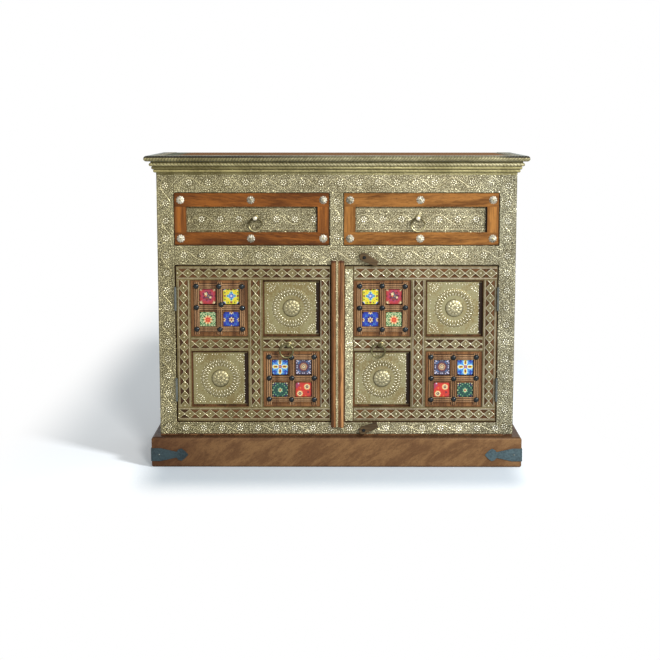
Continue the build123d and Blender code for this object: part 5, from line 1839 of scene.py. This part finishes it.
head_radius, crown_height = 6.3, 3.4
for name in pulls:
    low, high = box_mm(f"{name}_ring_post")
    x, z = (low[0] + high[0]) / 2, (low[2] + high[2]) / 2
    tip = low[1] - 0.3
    face = box_mm(f"{name}_plate")[0][1] if "drawer" in name else box_mm(f"{name}_fretwork")[0][1]
    head = [(0.0, tip)] + [(head_radius * sin(a), tip + crown_height - crown_height * cos(a)) for a in
                           (radians(d) for d in (25, 50, 75, 90))]
    head += [(head_radius, tip + 5.0), (5.2, tip + 7.5), (4.0, tip + 10.0)]
    # The washer's dark brass is also painted shade round the post.
    washer = [(0.0, face - 2.4), (4.0, face - 2.3), (7.0, face - 1.8), (9.0, face - 1.0), (9.6, face + 0.2)]
    for part, shape, finish in (("head", head, head_brass if "drawer" in name else door_pull_brass),
                                ("washer", washer, dark_brass)):
        piece = as_object(f"{name}_post_{part}", turned_shape(shape, x, z))
        piece.data.materials.append(finish)
        settle(piece, name, "cast_brass")

# %% [markdown]
# ## Beside the meeting of the doors
# A thin wooden bead closes the astragal's channel towards the right, so that only a narrow line of brass
# shows. The sheet between astragal and openwork is chased all over with short strokes.

# %% Bead and chased strip
bead_radius, bead_aside, bead_depth, bead_short = 2.1, 1.2, 4.5, 0.5
strip_aside, strip_foot, strip_head = 3.0, 1.5, 9.0
strip_rise = 0.5
bead_x, bead_y = lip - bead_aside, astragal_low[1] + bead_depth
bead_run = [(bead_x, bead_y, astragal_low[2] + bead_short), (bead_x, bead_y, astragal_top - bead_short)]
settle(ridges("astragal_bead", [bead_run], bead_radius, astragal_wood, 10), "right_door", "red_wood")
fret_face = box_mm("right_door_fretwork")[0][1]
strip_x0, strip_x1 = astragal_high[0] + strip_aside, door_edges["right_door"][4] - strip_aside
strip_z0, strip_z1 = door_low + strip_foot, door_high - strip_head
strip = lath_shape((strip_x0 + strip_x1) / 2, (strip_z0 + strip_z1) / 2, (strip_x1 - strip_x0) / 2,
                   (strip_z1 - strip_z0) / 2, fret_face - strip_rise, fret_face + lath_seat)
settle(flat_object("meeting_strip", strip, meeting_brass), "right_door", "fret_brass")

# %% [markdown]
# ## Turn buttons
# Two small wooden paddles turn on screws and hold the doors shut. Each is a rounded board, wider at its
# screw than at its tip. The outline is drawn flat, thickened and bevelled.

# %% Turn buttons
pivot_radius, tip_half, tip_reach = 12.0, 9.0, 43.0
pivot_stretch, pivot_back = 1.15, 1.2
tip_corner, paddle_edge = 4.0, 1.6
screw_gap = 0.2


def paddle(name, node, screw, angle):
    """A paddle that turns about screw (x, z), at rest at an angle from the level line."""
    low, high = box_mm(node)
    outline = [(pivot_radius * cos(a) * pivot_stretch - pivot_back, pivot_radius * sin(a)) for a in
               (radians(d) for d in range(100, 261, 16))]
    for side, turns in ((-1, (-90, -45, 0)), (1, (0, 45, 90))):
        for a in (radians(d) for d in turns):
            outline.append((tip_reach - tip_corner + tip_corner * cos(a),
                            side * (tip_half - tip_corner) + tip_corner * sin(a)))
    turned = [(screw[0] + u * cos(angle) - v * sin(angle), screw[1] + u * sin(angle) + v * cos(angle))
              for u, v in outline]
    piece = flat_object(name, slab(turned, low[1] + screw_gap, high[1]), button_wood)
    soften = piece.modifiers.new("soften", "BEVEL")
    soften.width = paddle_edge * MM
    soften.segments = 3
    soften.limit_method = "ANGLE"
    settle(piece, node, "red_wood", node)


button_x = 80.0
paddle("upper_paddle", "upper_turn_button", (button_x, 618.0), radians(-27))
paddle("lower_paddle", "lower_turn_button", (button_x, 108.5), radians(22))

# %% [markdown]
# ## Nails
# Small nails pin the straps and the sheets. They are stamped as the studs are, only smaller.

# %% Nails of straps and sheets
strap_nail, sheet_nail = stud_shape(3.0, 1.6), stud_shape(2.2, 1.2)
strap_inset, nail_aside, nail_drop = 24.0, 14.0, 30.0
straps_low, straps_high = box_mm("corner_straps")
strap_z = (straps_low[2] + straps_high[2]) / 2
strap_spots = [(side * (straps_high[0] - strap_inset), straps_low[1], strap_z, 0.0, 1.0) for side in (-1, 1)]
settle(stamp("strap_nails", strap_nail, strap_spots, hinge_steel), "case", "iron")
sheet_spots = [(side * (opening_half + stile_width / 2 + nail_aside), clad_face, z, 0.0, 1.0)
               for side in (-1, 1) for z in (120.0, 300.0, 480.0, 660.0, 840.0)]
sheet_spots += [(x, clad_face, middle_high - nail_drop, 0.0, 1.0) for x in (-400.0, -200.0, 205.0, 400.0)]
settle(stamp("sheet_nails", sheet_nail, sheet_spots, stud_iron), "case", "iron")

# %% [markdown]
# ## Count the materials
# The drawn object has to stay inside the measured one. Here only the number of materials is printed.

# %% Number of materials
print("materials:", len(bpy.data.materials))
